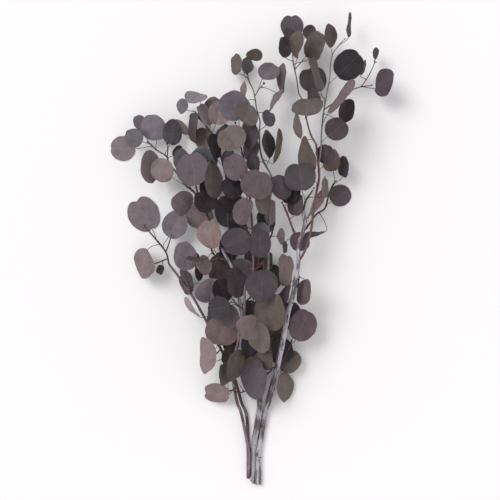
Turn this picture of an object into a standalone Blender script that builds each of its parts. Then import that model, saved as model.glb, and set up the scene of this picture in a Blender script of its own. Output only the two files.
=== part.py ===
"""A bunch of five cut eucalyptus branches with round, dark, preserved leaves, lying on a surface.

The cut ends lie side by side at -Y and the leafy ends fan out towards +Y. The front view was laid
out on a grid of small squares, counted right and down from its corner. The numbers of a route are
its grid point and its height over the surface in millimetres. A leaf is given by the grid point of
its middle and by how wide and how high it is seen from above, and a rule finds its seat on the
twig, its stalk, its tilt and its height, clear of all that is placed before it.
"""
import math
import random

import bmesh
import bpy
from mathutils import Matrix, Vector
from mathutils.bvhtree import BVHTree

NAME = "eucalyptus_branch"
SQUARE = 0.00125            # one square of the layout grid
NECK = (250, 470)           # grid point where the stems leave the bundle
ORIGIN = (-0.0054, 0.2412)   # middle of the bounding box, measured from the neck
GAP = 0.0003                # clearance between pieces that touch on the real branch
BUNDLE_END = -0.050         # the stems lie side by side up to here
BLADE = 0.0008              # thickness of a leaf blade
STALK_WIDTH = 0.0014        # width of a leaf stalk
CLEAR = 0.0010              # half the free space that the layout keeps between two blades
TWIG_CLEAR = 0.0011         # free space round a twig
STALK_REACH = (0.0045, 0.036)
FORK_ROOM = 0.006           # no leaf grows nearer than this to a fork
OWN_STALK = 0.4             # the part of a stalk that may lie close to its own twig
STEM_STEP = 0.022
TWIG_STEP = 0.014
TWIG_TAPER = 0.8            # a twig's end radius against its base radius
LEAF_ROWS = ((4, 0.024), (5, 0.038), (6, 1.0))   # rows of a blade, for leaves up to a length
LEAN_LIMIT = math.radians(74)
SLIM = (0.36, 0.6)          # a leaf seen narrower than the first is a young one, slimmer by the second
SEED = 41
TRIES = 400                 # how often the rule tries to place a leaf
REST = "rest"               # the leaf lies flat on the surface

# Each stem: thick end and thin end radius, place of its cut end along Y, route
STEMS = {
    "stem_right": (0.0048, 0.0026, -0.095, [
        (262, 468, 6), (266, 452, 13), (270, 435, 23), (277, 405, 40), (283, 375, 54), (288, 345, 63),
        (293, 328, 66), (296, 310, 67), (299, 290, 67), (299, 272, 66), (304, 258, 64), (306, 245, 61),
        (305, 234, 57)]),
    "stem_back": (0.0032, 0.0021, -0.091, [
        (254, 468, 4), (255, 445, 7), (240, 380, 18), (235, 340, 28), (228, 311, 36), (226, 298, 39),
        (218, 283, 41), (214, 275, 41)]),
    "stem_left": (0.0024, 0.0016, -0.087, [
        (242, 469, 4), (236, 452, 8), (230, 430, 14), (217, 398, 22), (205, 376, 27), (195, 355, 31),
        (180, 328, 33), (165, 307, 32), (154, 293, 29)]),
    "stem_centre": (0.0023, 0.0014, -0.083, [
        (236, 465, 14), (231, 450, 22), (227, 425, 34), (228, 405, 44), (233, 375, 58), (239, 350, 68),
        (240, 322, 76), (244, 308, 78), (249, 299, 79), (248, 250, 82), (246, 230, 82), (244, 198, 80)]),
    "stem_tall": (0.0026, 0.0015, -0.093, [
        (257, 466, 14), (258, 440, 22), (262, 400, 36), (265, 350, 50), (266, 292, 58), (266, 258, 60),
        (267, 225, 60), (271, 203, 58), (267, 190, 57)]),
}

# Each spray: what it grows from, base radius, twigs (the first is the main one), leaves. A leaf is
# column, row, width, height, tone, lift over its twig in mm or REST, turn of its long side in degrees.
SPRAYS = {
    "spray_left_tip": ("stem_left", 0.0014, [
        [(154, 293, 29), (150, 279, 26), (137, 263, 21), (126, 251, 15)],
        [(150, 280, 26), (154, 270, 30), (156, 263, 32)],
        [(152, 287, 28), (142, 291, 25), (136, 293, 22)]], [
        (123, 235, 39, 30, "M", REST), (126, 293, 25, 37, "B", 4), (161, 248, 32, 33, "M", 5),
        (144, 300, 9, 11, "D", -5)]),
    "spray_left_mid": ("stem_left", 0.0012, [
        [(180, 328, 33), (177, 316, 38), (172, 301, 42)]], [
        (173, 283, 30, 32, "M", 3), (173, 312, 13, 30, "D", 2), (187, 296, 9, 30, "D", -6)]),
    "spray_left_low": ("stem_left", 0.0012, [
        [(197, 359, 31), (199, 347, 36), (199, 340, 40)]], [
        (203, 322, 37, 33, "M", 4), (181, 341, 8, 28, "T", 4, -31), (210, 354, 26, 22, "D", -6)]),
    "spray_left_base": ("stem_left", 0.0012, [
        [(214, 392, 24), (212, 386, 30), (210, 381, 34)],
        [(213, 389, 27), (206, 396, 31), (202, 402, 33)]], [
        (214, 367, 36, 33, "T", 5), (200, 394, 19, 39, "T", 5), (222, 396, 20, 26, "O", -8)]),
    "spray_collar_left": ("stem_left", 0.0012, [
        [(231, 434, 13), (225, 437, 18), (220, 437, 21)]], [
        (207, 440, 29, 26, "B", 3), (218, 414, 20, 36, "O", -3)]),
    "spray_collar_front": ("stem_centre", 0.0012, [
        [(229, 437, 28), (234, 438, 36), (238, 436, 41)]], [
        (251, 421, 31, 44, "P", 8), (229, 405, 22, 36, "O", 3), (242, 402, 22, 32, "D", -22)]),
    "spray_left_inner": ("stem_back", 0.0012, [
        [(221, 288, 40), (212, 287, 36), (204, 281, 36), (201, 272, 38)]], [
        (216, 299, 32, 38, "P", -14), (194, 294, 16, 23, "T", 2), (184, 287, 20, 6, "D", 0),
        (203, 258, 22, 34, "T", 5), (222, 275, 22, 28, "N", -10), (206, 288, 18, 22, "D", -20)]),
    "spray_core_back": ("stem_back", 0.0012, [
        [(235, 340, 28), (243, 334, 21), (252, 324, 15), (257, 314, 12)]], [
        (248, 350, 23, 29, "N", -3), (264, 338, 24, 30, "N", 0), (271, 308, 26, 30, "N", 2),
        (248, 303, 22, 30, "N", 0), (262, 290, 22, 28, "O", 3)]),
    "spray_base_back": ("stem_back", 0.0012, [
        [(240, 380, 18), (248, 372, 13), (258, 364, 11)]], [
        (248, 396, 24, 30, "O", 2), (270, 378, 24, 30, "O", 2), (276, 356, 22, 28, "D", 0), (224, 384, 22, 28, "N", 4)]),
    "spray_upper_left": ("stem_back", 0.0018, [
        [(214, 275, 41), (210, 262, 41), (200, 243, 40), (187, 217, 39), (172, 203, 37)],
        [(187, 217, 39), (186, 209, 43), (185, 204, 45)]], [
        (182, 186, 38, 38, "M", 7), (194, 174, 32, 28, "S", -8), (169, 224, 20, 32, "M", 2),
        (147, 187, 27, 28, "B", 2), (168, 174, 20, 26, "S", -9),
        (188, 236, 18, 38, "B", 5), (196, 222, 22, 30, "N", -5),
        (178, 164, 26, 24, "M", 15), (198, 206, 20, 28, "D", -9)]),
    "spray_upper_left_tip": ("spray_upper_left", 0.0012, [
        [(172, 203, 37), (155, 179, 32), (151, 171, 30), (139, 163, 25), (131, 155, 19)],
        [(152, 173, 31), (153, 165, 35), (153, 159, 37)]], [
        (158, 143, 22, 30, "S", 4), (137, 138, 31, 28, "M", 5), (120, 132, 15, 18, "M", 0),
        (114, 150, 22, 22, "S", 6), (99, 160, 20, 28, "T", REST), (164, 166, 12, 16, "D", -4),
        (133, 183, 20, 37, "T", -3)]),
    "spray_crown_left": ("stem_back", 0.0017, [
        [(228, 311, 36), (224, 270, 35), (220, 230, 37), (218, 212, 37), (219, 198, 37), (215, 180, 38),
         (205, 150, 36), (190, 130, 32), (184, 121, 28)]], [
        (222, 232, 38, 34, "D", 7), (206, 198, 18, 42, "O", 3), (204, 163, 14, 31, "N", 0),
        (222, 172, 16, 20, "D", -8), (210, 123, 26, 27, "T", 7), (204, 113, 20, 20, "O", -4),
        (194, 126, 17, 26, "T", 2), (181, 138, 13, 32, "D", 0), (167, 136, 7, 24, "B", 6, -45),
        (169, 114, 15, 18, "S", 0), (185, 109, 26, 21, "S", 4),
        (226, 222, 22, 30, "N", -12), (232, 255, 22, 28, "N", -10), (216, 148, 18, 28, "D", -9),
        (192, 150, 20, 24, "B", -6)]),
    "spray_centre_low": ("stem_centre", 0.0011, [
        [(235, 368, 60), (241, 358, 64), (245, 350, 66)]], [
        (241, 360, 24, 30, "B", 8), (244, 385, 22, 27, "N", -8), (258, 374, 27, 34, "O", 4),
        (237, 390, 22, 32, "N", -24)]),
    "spray_centre_left": ("stem_centre", 0.0011, [
        [(239, 343, 70), (231, 337, 70), (226, 330, 68)]], [
        (230, 312, 24, 34, "D", 2), (214, 322, 20, 28, "N", -8), (222, 350, 24, 30, "D", 0),
        (212, 340, 18, 26, "N", 4)]),
    "spray_centre_mid": ("stem_centre", 0.0011, [
        [(249, 300, 79), (255, 296, 84), (259, 290, 87)]], [
        (259, 316, 36, 38, "D", -3), (256, 270, 27, 30, "O", 2), (240, 300, 20, 34, "D", -10)]),
    "spray_centre_high": ("stem_centre", 0.0011, [
        [(248, 264, 81), (243, 256, 85), (240, 252, 87)]], [
        (230, 268, 34, 31, "D", 0), (240, 235, 24, 31, "P", 5), (258, 257, 21, 21, "S", -7),
        (250, 284, 24, 30, "D", -14)]),
    "spray_centre_upper": ("stem_centre", 0.0011, [
        [(246, 232, 82), (243, 224, 86), (242, 215, 88)]], [
        (253, 205, 32, 34, "B", 4), (226, 208, 22, 26, "N", -7), (229, 186, 30, 30, "O", 2),
        (260, 226, 18, 26, "O", -8)]),
    "spray_centre_tip": ("stem_centre", 0.0012, [
        [(244, 198, 80), (238, 174, 76), (232, 147, 68), (230, 138, 63)]], [
        (225, 155, 32, 31, "B", 4), (247, 152, 16, 30, "D", -5), (250, 180, 14, 22, "D", -10),
        (229, 119, 41, 29, "M", 6), (243, 129, 36, 26, "S", -8)]),
    "spray_collar_top": ("stem_tall", 0.0012, [
        [(260, 421, 28), (266, 416, 36), (271, 410, 42)]], [
        (260, 394, 30, 36, "O", 2), (280, 390, 26, 30, "N", -16)]),
    "spray_core_top": ("stem_tall", 0.0012, [
        [(263, 394, 38), (268, 384, 46), (270, 374, 51)]], [
        (268, 343, 27, 46, "O", 3), (252, 372, 28, 32, "D", -10), (282, 354, 22, 30, "D", -12)]),
    "spray_mid_top": ("stem_tall", 0.0012, [
        [(266, 268, 59), (270, 259, 57), (272, 252, 55)]], [
        (268, 233, 16, 30, "M", 0), (280, 262, 9, 18, "B", -5), (262, 244, 18, 28, "D", -14)]),
    "spray_top_low": ("stem_tall", 0.0013, [
        [(267, 190, 57), (260, 177, 55), (257, 165, 53), (256, 148, 50), (257, 133, 47)]], [
        (265, 159, 14, 33, "D", 5), (248, 165, 18, 26, "M", 3), (275, 161, 7, 38, "O", 2, 12),
        (266, 130, 16, 20, "S", 3), (245, 138, 14, 20, "D", -8)]),
    "spray_top_tip": ("spray_top_low", 0.0009, [
        [(257, 133, 47), (253, 118, 42), (250, 99, 36), (245, 87, 31), (243, 79, 27)],
        [(251, 104, 38), (256, 96, 38), (260, 91, 37)]], [
        (275, 109, 7, 28, "M", 3, 31), (267, 77, 27, 20, "M", 4), (251, 56, 18, 12, "O", 3),
        (230, 66, 14, 24, "O", -3), (242, 66, 13, 18, "S", -6), (239, 97, 6, 20, "B", 0),
        (283, 82, 10, 32, "O", -3)]),
    "spray_right_low": ("stem_right", 0.0014, [
        [(275, 414, 35), (280, 406, 33), (287, 392, 34), (292, 381, 37)]], [
        (284, 434, 22, 34, "O", -14), (291, 404, 24, 31, "O", -12), (304, 361, 33, 36, "P", 0),
        (292, 350, 24, 30, "D", -16)]),
    "spray_right_inner": ("stem_right", 0.0012, [
        [(294, 323, 66), (299, 316, 62), (300, 308, 57)]], [
        (306, 324, 13, 30, "B", 0, 14), (286, 299, 19, 40, "B", -14), (284, 328, 20, 32, "D", -16),
        (284, 284, 14, 26, "N", -16)]),
    "spray_right_fork_left": ("stem_right", 0.0015, [
        [(299, 271, 66), (295, 260, 66), (288, 240, 65), (282, 226, 64)]], [
        (279, 208, 26, 28, "D", 3), (301, 268, 23, 22, "P", -14), (284, 274, 6, 14, "D", 0),
        (297, 226, 20, 24, "D", -6), (290, 212, 22, 28, "N", -8)]),
    "spray_right_fork_mid": ("stem_right", 0.0014, [
        [(305, 234, 57), (308, 222, 53), (316, 210, 46)]], [
        (301, 196, 36, 33, "D", 5), (328, 206, 9, 24, "B", 0)]),
    "spray_right_fork_out": ("stem_right", 0.0015, [
        [(304, 258, 64), (314, 245, 54), (320, 237, 48), (330, 230, 40), (334, 217, 31), (338, 207, 23),
         (342, 200, 18)]], [
        (350, 214, 24, 20, "P", REST), (352, 182, 10, 25, "D", 3), (340, 174, 15, 28, "B", 3),
        (318, 258, 22, 6, "D", -4), (320, 222, 8, 40, "B", 5, 16)]),
    "spray_right_long": ("stem_right", 0.0020, [
        [(299, 290, 67), (306, 278, 69), (313, 255, 69), (316, 230, 68), (320, 208, 67), (322, 197, 66),
         (321, 180, 65), (319, 160, 62)]], [
        (330, 171, 20, 24, "D", -6), (309, 172, 15, 42, "O", 3)]),
    "spray_crown_mid": ("spray_right_long", 0.0013, [
        [(319, 160, 62), (313, 149, 60), (308, 130, 56), (304, 110, 50), (300, 102, 47)]], [
        (300, 136, 9, 34, "B", 2), (309, 119, 36, 16, "O", 5), (316, 108, 12, 26, "D", 0)]),
    "spray_crown_mid_tip": ("spray_crown_mid", 0.0009, [
        [(300, 102, 47), (298, 84, 39), (295, 68, 31), (294, 52, 24), (295, 41, 18)],
        [(296, 74, 34), (302, 67, 36), (308, 60, 36)]], [
        (319, 46, 21, 33, "O", 3), (301, 47, 14, 34, "O", 8), (284, 47, 17, 26, "P", 0),
        (294, 19, 26, 19, "P", REST), (314, 28, 15, 16, "D", -3), (290, 33, 12, 16, "D", 8)]),
    "spray_crown_right": ("spray_right_long", 0.0013, [
        [(321, 184, 65), (324, 168, 66), (325, 145, 62), (328, 121, 55), (331, 105, 50)]], [
        (341, 144, 26, 26, "D", 3), (318, 80, 16, 42, "O", 8), (346, 108, 13, 44, "B", 9, 28),
        (354, 121, 17, 28, "D", -8), (317, 83, 31, 31, "D", -3)]),
    "spray_crown_right_tip": ("spray_crown_right", 0.0009, [
        [(331, 105, 50), (335, 83, 44), (336, 70, 40), (339, 56, 35), (346, 46, 30), (351, 40, 27)]], [
        (356, 70, 33, 34, "N", 4), (358, 22, 7, 28, "D", 0, 10), (335, 36, 17, 26, "P", 3)]),
    "spray_crown_far": ("spray_crown_right", 0.0009, [
        [(328, 121, 55), (343, 110, 50), (350, 105, 47), (359, 98, 42), (371, 93, 34), (382, 91, 27)],
        [(371, 93, 34), (378, 83, 30), (384, 72, 26), (387, 65, 23)]], [
        (397, 88, 18, 33, "P", 2), (373, 71, 6, 18, "O", 0, 20), (388, 54, 6, 13, "D", 0)]),
}

# Colour, roughness and metallic value of the leaf tones and of the bark
TONES = {
    "T": (0.242, 0.188, 0.198), "M": (0.178, 0.150, 0.174), "S": (0.114, 0.108, 0.134),
    "O": (0.108, 0.090, 0.082), "D": (0.062, 0.053, 0.059), "N": (0.034, 0.031, 0.036),
    "B": (0.185, 0.136, 0.132), "P": (0.088, 0.066, 0.076),
}
BARK = (0.420, 0.375, 0.430)


def grid_point(column, row, height):
    """The point of a grid place at a height in millimetres, in metres from the neck."""
    return Vector(((column - NECK[0]) * SQUARE, (NECK[1] - row) * SQUARE, height / 1000))


def smooth(points, step):
    """Points every step or so along a rounded path through the given points."""
    ends = [2 * points[0] - points[1], *points, 2 * points[-1] - points[-2]]
    path = []
    for a, b, c, d in zip(ends, ends[1:], ends[2:], ends[3:]):
        count = max(1, round((c - b).length / step))
        for i in range(count):
            t = i / count
            path.append(0.5 * (2 * b + (c - a) * t + (2 * a - 5 * b + 4 * c - d) * t**2
                               + (3 * b - a - 3 * c + d) * t**3))
    return path + [points[-1]]


def nest(left, right, radius):
    """The place (x, z) of a stem of this radius that lies in the groove on two others (x, z, radius)."""
    span = math.hypot(right[0] - left[0], right[1] - left[1])
    to_left = left[2] + radius + GAP
    to_right = right[2] + radius + GAP
    along = (to_left**2 - to_right**2 + span**2) / (2 * span)
    up = math.sqrt(to_left**2 - along**2)
    ux, uz = (right[0] - left[0]) / span, (right[1] - left[1]) / span
    return left[0] + along * ux - up * uz, left[1] + along * uz + up * ux


def bundle_places():
    """Where each stem lies in the bundle: three on the surface, two in the grooves on them."""
    flat = math.cos(math.pi / 8)
    radius = {name: spec[0] for name, spec in STEMS.items()}
    places, x, before = {}, 0.006, None
    for name in ("stem_right", "stem_back", "stem_left"):
        if before:
            rise = (radius[before] - radius[name]) * flat
            x -= math.sqrt((radius[before] + radius[name] + GAP) ** 2 - rise**2)
        places[name] = (x, radius[name] * flat)
        before = name
    on = {name: (*place, radius[name]) for name, place in places.items()}
    places["stem_centre"] = nest(on["stem_left"], on["stem_back"], radius["stem_centre"])
    places["stem_tall"] = nest(on["stem_back"], on["stem_right"], radius["stem_tall"])
    return places


def tapered(path, thick, thin):
    """A radius for each point of a path, from its thick end to its thin end."""
    lengths = [0.0]
    for a, b in zip(path, path[1:]):
        lengths.append(lengths[-1] + (b - a).length)
    return [thick + (thin - thick) * s / lengths[-1] for s in lengths]


def stem_path(name, step):
    """A stem's points and radii, from its cut end to its thin end."""
    thick, thin, cut, route = STEMS[name]
    x, z = bundle_places()[name]
    start = Vector((x, cut, z))
    end = Vector((x, BUNDLE_END, z))
    path = [start] + smooth([end] + [grid_point(*p) for p in route], step)
    return path, tapered(path, thick, thin)


def twig_paths(name, step):
    """The points and radii of each twig of a spray. The first one is its main twig."""
    base, twigs = SPRAYS[name][1], SPRAYS[name][2]
    paths = []
    for number, route in enumerate(twigs):
        thick = base if number == 0 else 0.8 * base
        path = smooth([grid_point(*p) for p in route], step)
        paths.append((path, tapered(path, thick, TWIG_TAPER * thick)))
    return paths


def carrier_path(name, step):
    """The path that the sprays on a stem or on another spray grow from."""
    return stem_path(name, step) if name in STEMS else twig_paths(name, step)[0]


def tube_tree(path, radii, margin):
    """A search tree of a six-sided tube round a path, for testing what would touch it."""
    points, faces, sides = [], [], 6
    for i in range(len(path)):
        ahead = path[min(i + 1, len(path) - 1)] - path[max(i - 1, 0)]
        across = ahead.cross(Vector((0.3, 0.2, 1))).normalized()
        upward = across.cross(ahead).normalized()
        for k in range(sides):
            turn = 2 * math.pi * k / sides
            reach = radii[i] + margin
            points.append(path[i] + reach * (math.cos(turn) * across + math.sin(turn) * upward))
    for ring in range(len(path) - 1):
        for k in range(sides):
            a, b = ring * sides + k, ring * sides + (k + 1) % sides
            faces += [(a, b, b + sides), (a, b + sides, a + sides)]
    return BVHTree.FromPolygons(points, faces, all_triangles=True)


def half_width(leaf, u):
    """Half the width of a blade at the part u of its length: nearly round, widest below the middle."""
    return 0.5 * leaf["width"] * max(0.0, 4 * u * (1 - u)) ** leaf["full"] * (1 + leaf["egg"] * (0.5 - u))


def blade_point(leaf, u, v, lift=0.0, margin=0.0):
    """A point of the blade, at the part u of its length and v (-1 to 1) of its half width."""
    half = half_width(leaf, min(1.0, max(0.0, u))) + margin
    rise = leaf["arch"] * 4 * u * (1 - u) + leaf["fold"] * abs(v) * half
    rise += leaf["wave"] * v * abs(v) * math.sin(2 * math.pi * u + leaf["phase"])
    notch = leaf["notch"] * (1 - abs(v)) if u > 0.999 else 0.0
    along = u * leaf["length"] - notch
    return leaf["base"] + along * leaf["axis"] + v * half * leaf["side"] + (rise + lift) * leaf["normal"]


def stalk_point(leaf, t):
    """A point of the stalk, from its seat on the twig (t = 0) to the blade's base (t = 1)."""
    a, b, c, d = leaf["stalk"]
    s = 1 - t
    return s**3 * a + 3 * s * s * t * b + 3 * s * t * t * c + t**3 * d


def leaf_tree(leaf, start_of_stalk):
    """A search tree of a slab round the blade and of a sleeve round the stalk, and its lowest point."""
    points, faces = [], []
    rows = 9
    for lift in (-CLEAR, CLEAR):
        for i in range(rows):
            u = -0.03 + 1.06 * (1 - math.cos(math.pi * i / (rows - 1))) / 2
            for v in (-1, 0, 1):
                points.append(blade_point(leaf, u, v, lift, 0.0012))
    under = rows * 3
    for i in range(rows - 1):
        for k in range(2):
            a = i * 3 + k
            for m in (0, under):
                faces += [(a + m, a + m + 1, a + m + 4), (a + m, a + m + 4, a + m + 3)]
        for a in (i * 3, i * 3 + 2):
            faces += [(a, a + 3, a + 3 + under), (a, a + 3 + under, a + under)]
    start = len(points)
    times = [start_of_stalk + (1 - start_of_stalk) * i / 4 for i in range(5)]
    for t in times:
        centre = stalk_point(leaf, t)
        for k in range(3):
            turn = 2 * math.pi * k / 3
            points.append(centre + 0.0015 * (math.cos(turn) * leaf["side"] + math.sin(turn) * leaf["normal"]))
    for ring in range(len(times) - 1):
        for k in range(3):
            a, b = start + ring * 3 + k, start + ring * 3 + (k + 1) % 3
            faces += [(a, b, b + 3), (a, b + 3, a + 3)]
    low = min(point.z for point in points)
    return BVHTree.FromPolygons(points, faces, all_triangles=True), low


def draw_leaf(spec, seats, used, rng, attempt):
    """One try at a leaf: its seat, stalk and blade, or None where the stalk can't reach."""
    column, row, wide, high, tone = spec[:5]
    lift = spec[5] if len(spec) > 5 else 0
    turn = math.radians(spec[6]) if len(spec) > 6 else (0.0 if wide < high else math.pi / 2)
    resting = lift == REST
    size = max(wide, high) * SQUARE * rng.uniform(0.98, 1.04) * (1.0 if attempt < TRIES / 2 else 0.88)
    narrow = min(wide, high) / max(wide, high)
    slim = narrow < SLIM[0] and not resting
    ratio = rng.uniform(0.86, 1.12) * (SLIM[1] if slim else 1.0)
    length = size / max(1.0, ratio)
    width = length * ratio
    lean = min(LEAN_LIMIT, math.acos(min(1.0, narrow / SLIM[1] if slim else narrow)))
    lean *= rng.choice((-1, 1))
    normal = Vector((math.sin(lean) * math.cos(turn), -math.sin(lean) * math.sin(turn), math.cos(lean)))
    loose = 0.10 + 0.40 * attempt / TRIES
    normal += Vector((rng.gauss(0, loose), rng.gauss(0, loose), 0))
    normal.normalize()
    middle = grid_point(column, row, 0)
    reach = length / 2 + length * rng.uniform(0.28, 0.5)
    best = None
    for number, (point, ahead) in enumerate(seats):
        away = middle - Vector((point.x, point.y, 0))
        if away.length < 0.002:
            continue
        flat = Vector((ahead.x, ahead.y, 0))
        miss = abs(away.length - reach) + 0.010 * max(0.0, 0.4 - away.normalized().dot(flat))
        miss += sum(0.006 for other in used if (other - point).length < 0.005)
        miss += rng.uniform(0, 0.002 + 0.015 * attempt / TRIES)
        if best is None or miss < best[0]:
            best = (miss, number)
    seat, ahead = seats[best[1]]
    if resting:
        normal = Vector((0, 0, 1))
        middle.z = BLADE / 2
    else:
        middle.z = seat.z + lift / 1000 + rng.gauss(0, 0.003 + 0.030 * attempt / TRIES)
    axis = middle - seat
    axis -= axis.dot(normal) * normal
    if axis.length < 0.004:
        return None
    if slim:
        long_side = Vector((math.sin(turn), math.cos(turn), 0))
        axis = long_side if axis.dot(long_side) > 0 else -long_side
        axis -= axis.dot(normal) * normal
    axis.normalize()
    base = middle - 0.5 * length * axis
    run = (base - seat).length
    longest = STALK_REACH[1] + (0.008 if resting else 0)
    if not STALK_REACH[0] < run < longest or (base - seat).dot(axis) < -0.2 * run:
        return None
    outward = (base - seat).normalized()
    start = (outward + 0.5 * ahead).normalized()
    leaf = {
        "base": base, "axis": axis, "normal": normal, "side": axis.cross(normal), "length": length,
        "width": width, "egg": rng.uniform(0.0, 0.36), "full": 0.6 if slim else rng.uniform(0.43, 0.5),
        "tone": tone, "seat": seat, "notch": 0.0 if slim else length * rng.choice((0.0, 0.03, 0.06, 0.09)),
        "stalk": (seat, seat + 0.35 * run * start, base - 0.3 * run * axis, base),
        "arch": rng.uniform(-0.05, 0.07) * length, "fold": rng.uniform(-0.05, 0.22),
        "wave": rng.uniform(0.01, 0.05) * length, "phase": rng.uniform(0, 6.3), "flat": resting,
    }
    if resting:
        leaf.update(arch=0.0, fold=0.0, wave=0.0)
    return leaf


def lay_out_leaves():
    """Every leaf of every spray, each clear of all stems, twigs and earlier leaves."""
    woods = {name: [tube_tree(*stem_path(name, STEM_STEP), TWIG_CLEAR)] for name in STEMS}
    for name in SPRAYS:
        woods[name] = [tube_tree(*twig, TWIG_CLEAR) for twig in twig_paths(name, TWIG_STEP)]
    leaves, placed = {}, []
    forks = [grid_point(*spec[2][0][0]) for spec in SPRAYS.values()]
    for order, (name, spray) in enumerate(SPRAYS.items()):
        seats = []
        for path, _ in twig_paths(name, 0.0025):
            for i in range(3, len(path)):
                if min((path[i] - fork).length for fork in forks) > FORK_ROOM:
                    seats.append((path[i], (path[i] - path[i - 1]).normalized()))
        leaves[name], used = [], []
        for number, spec in enumerate(spray[3]):
            rng = random.Random(SEED + 1000 * order + number)
            for attempt in range(TRIES):
                leaf = draw_leaf(spec, seats, used, rng, attempt)
                if leaf is None:
                    continue
                tree, low = leaf_tree(leaf, 0.0)
                if not leaf["flat"] and low < 0:
                    continue
                centre = leaf["base"] + 0.5 * leaf["length"] * leaf["axis"]
                near = [t for c, r, t in placed if (c - centre).length < r + leaf["length"] + 0.04]
                others = [t for owner in woods if owner != name for t in woods[owner]]
                if any(tree.overlap(other) for other in near + others):
                    continue
                if any(leaf_tree(leaf, OWN_STALK)[0].overlap(twig) for twig in woods[name]):
                    continue
                leaves[name].append(leaf)
                used.append(leaf["seat"])
                placed.append((centre, leaf["length"], tree))
                break
    return leaves


def material(name, colour, roughness):
    """A plain Principled material."""
    result = bpy.data.materials.new(name)
    result.use_nodes = True
    shader = result.node_tree.nodes["Principled BSDF"]
    shader.inputs["Base Color"].default_value = (*colour, 1)
    shader.inputs["Roughness"].default_value = roughness
    shader.inputs["Metallic"].default_value = 0
    return result


def add_object(name, mesh, collection):
    """A new object for a mesh, in a collection."""
    result = bpy.data.objects.new(name, mesh)
    collection.objects.link(result)
    return result


def baked(item):
    """Replaces an object's mesh by what its modifiers make of it."""
    bpy.context.view_layer.update()
    mesh = bpy.data.meshes.new_from_object(item.evaluated_get(bpy.context.evaluated_depsgraph_get()))
    item.modifiers.clear()
    item.data = mesh


def tube(name, path, radii, resolution, collection):
    """A round, tapering tube along a path, as a closed mesh made from a bevelled curve."""
    curve = bpy.data.curves.new(name, "CURVE")
    curve.dimensions = "3D"
    curve.bevel_depth = 1.0
    curve.bevel_resolution = resolution
    curve.use_fill_caps = True
    spline = curve.splines.new("POLY")
    spline.points.add(len(path) - 1)
    for knot, place, radius in zip(spline.points, path, radii):
        knot.co = (*place, 1)
        knot.radius = radius
        knot.tilt = math.pi / 8
    guide = add_object(name + "_curve", curve, collection)
    bpy.context.view_layer.update()
    mesh = bpy.data.meshes.new_from_object(guide.evaluated_get(bpy.context.evaluated_depsgraph_get()))
    result = add_object(name, mesh, collection)
    result.matrix_world = guide.matrix_world
    bpy.data.objects.remove(guide)
    shape = bmesh.new()
    shape.from_mesh(mesh)
    bmesh.ops.remove_doubles(shape, verts=shape.verts, dist=0.000001)
    shape.to_mesh(mesh)
    shape.free()
    return result


def leaf_object(name, leaf, collection):
    """A leaf and its stalk as one thin sheet of triangles, thickened on both sides alike."""
    points, faces = [], []
    rows = next(count for count, longest in LEAF_ROWS if leaf["length"] <= longest)
    bends = 2 if (leaf["base"] - leaf["seat"]).length > 0.014 else 1
    half = STALK_WIDTH / 2
    for i in range(bends + 1):
        centre = stalk_point(leaf, i / bends)
        points += [centre - half * leaf["side"], centre + half * leaf["side"]]
    for i in range(bends):
        a = 2 * i
        faces += [(a, a + 1, a + 3), (a, a + 3, a + 2)]
    left, right = 2 * bends, 2 * bends + 1
    first = len(points)
    for i in range(1, rows):
        u = (1 - math.cos(math.pi * i / rows)) / 2
        points += [blade_point(leaf, u, v) for v in (-1, 0, 1)]
    faces += [(left, first + 1, first), (left, right, first + 1), (right, first + 2, first + 1)]
    for i in range(rows - 2):
        a = first + 3 * i
        faces += [(a, a + 1, a + 3), (a + 1, a + 4, a + 3), (a + 1, a + 2, a + 5), (a + 1, a + 5, a + 4)]
    last = first + 3 * (rows - 2)
    if leaf["notch"] > 0:
        notch = len(points)
        points.append(leaf["base"] + (leaf["length"] - leaf["notch"]) * leaf["axis"])
    else:
        notch = len(points)
        points.append(blade_point(leaf, 1, 0))
    faces += [(last, last + 1, notch), (last + 1, last + 2, notch)]
    mesh = bpy.data.meshes.new(name)
    mesh.from_pydata([tuple(p) for p in points], [], faces)
    result = add_object(name, mesh, collection)
    thick = result.modifiers.new("thickness", "SOLIDIFY")
    thick.thickness = BLADE
    thick.offset = 0
    return result


def join_pieces(body, pieces, solver):
    """Joins all objects of a collection to a body and removes them."""
    union = body.modifiers.new("pieces", "BOOLEAN")
    union.operation = "UNION"
    union.operand_type = "COLLECTION"
    union.collection = pieces
    union.solver = solver
    baked(body)
    for item in list(pieces.objects):
        bpy.data.objects.remove(item)
    bpy.data.collections.remove(pieces)


def cut_by(body, cutter):
    """Takes the cutter's room out of a body."""
    cut = body.modifiers.new("seat", "BOOLEAN")
    cut.operation = "DIFFERENCE"
    cut.object = cutter
    baked(body)


def finish(body, place, colour, roughness, parent):
    """Gives a body its origin at a place, its material and its parent."""
    body.data.transform(Matrix.Translation(-place))
    body.location = place
    body.parent = parent
    body.data.materials.clear()
    body.data.materials.append(material(body.name + "_surface", colour, roughness))


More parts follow.
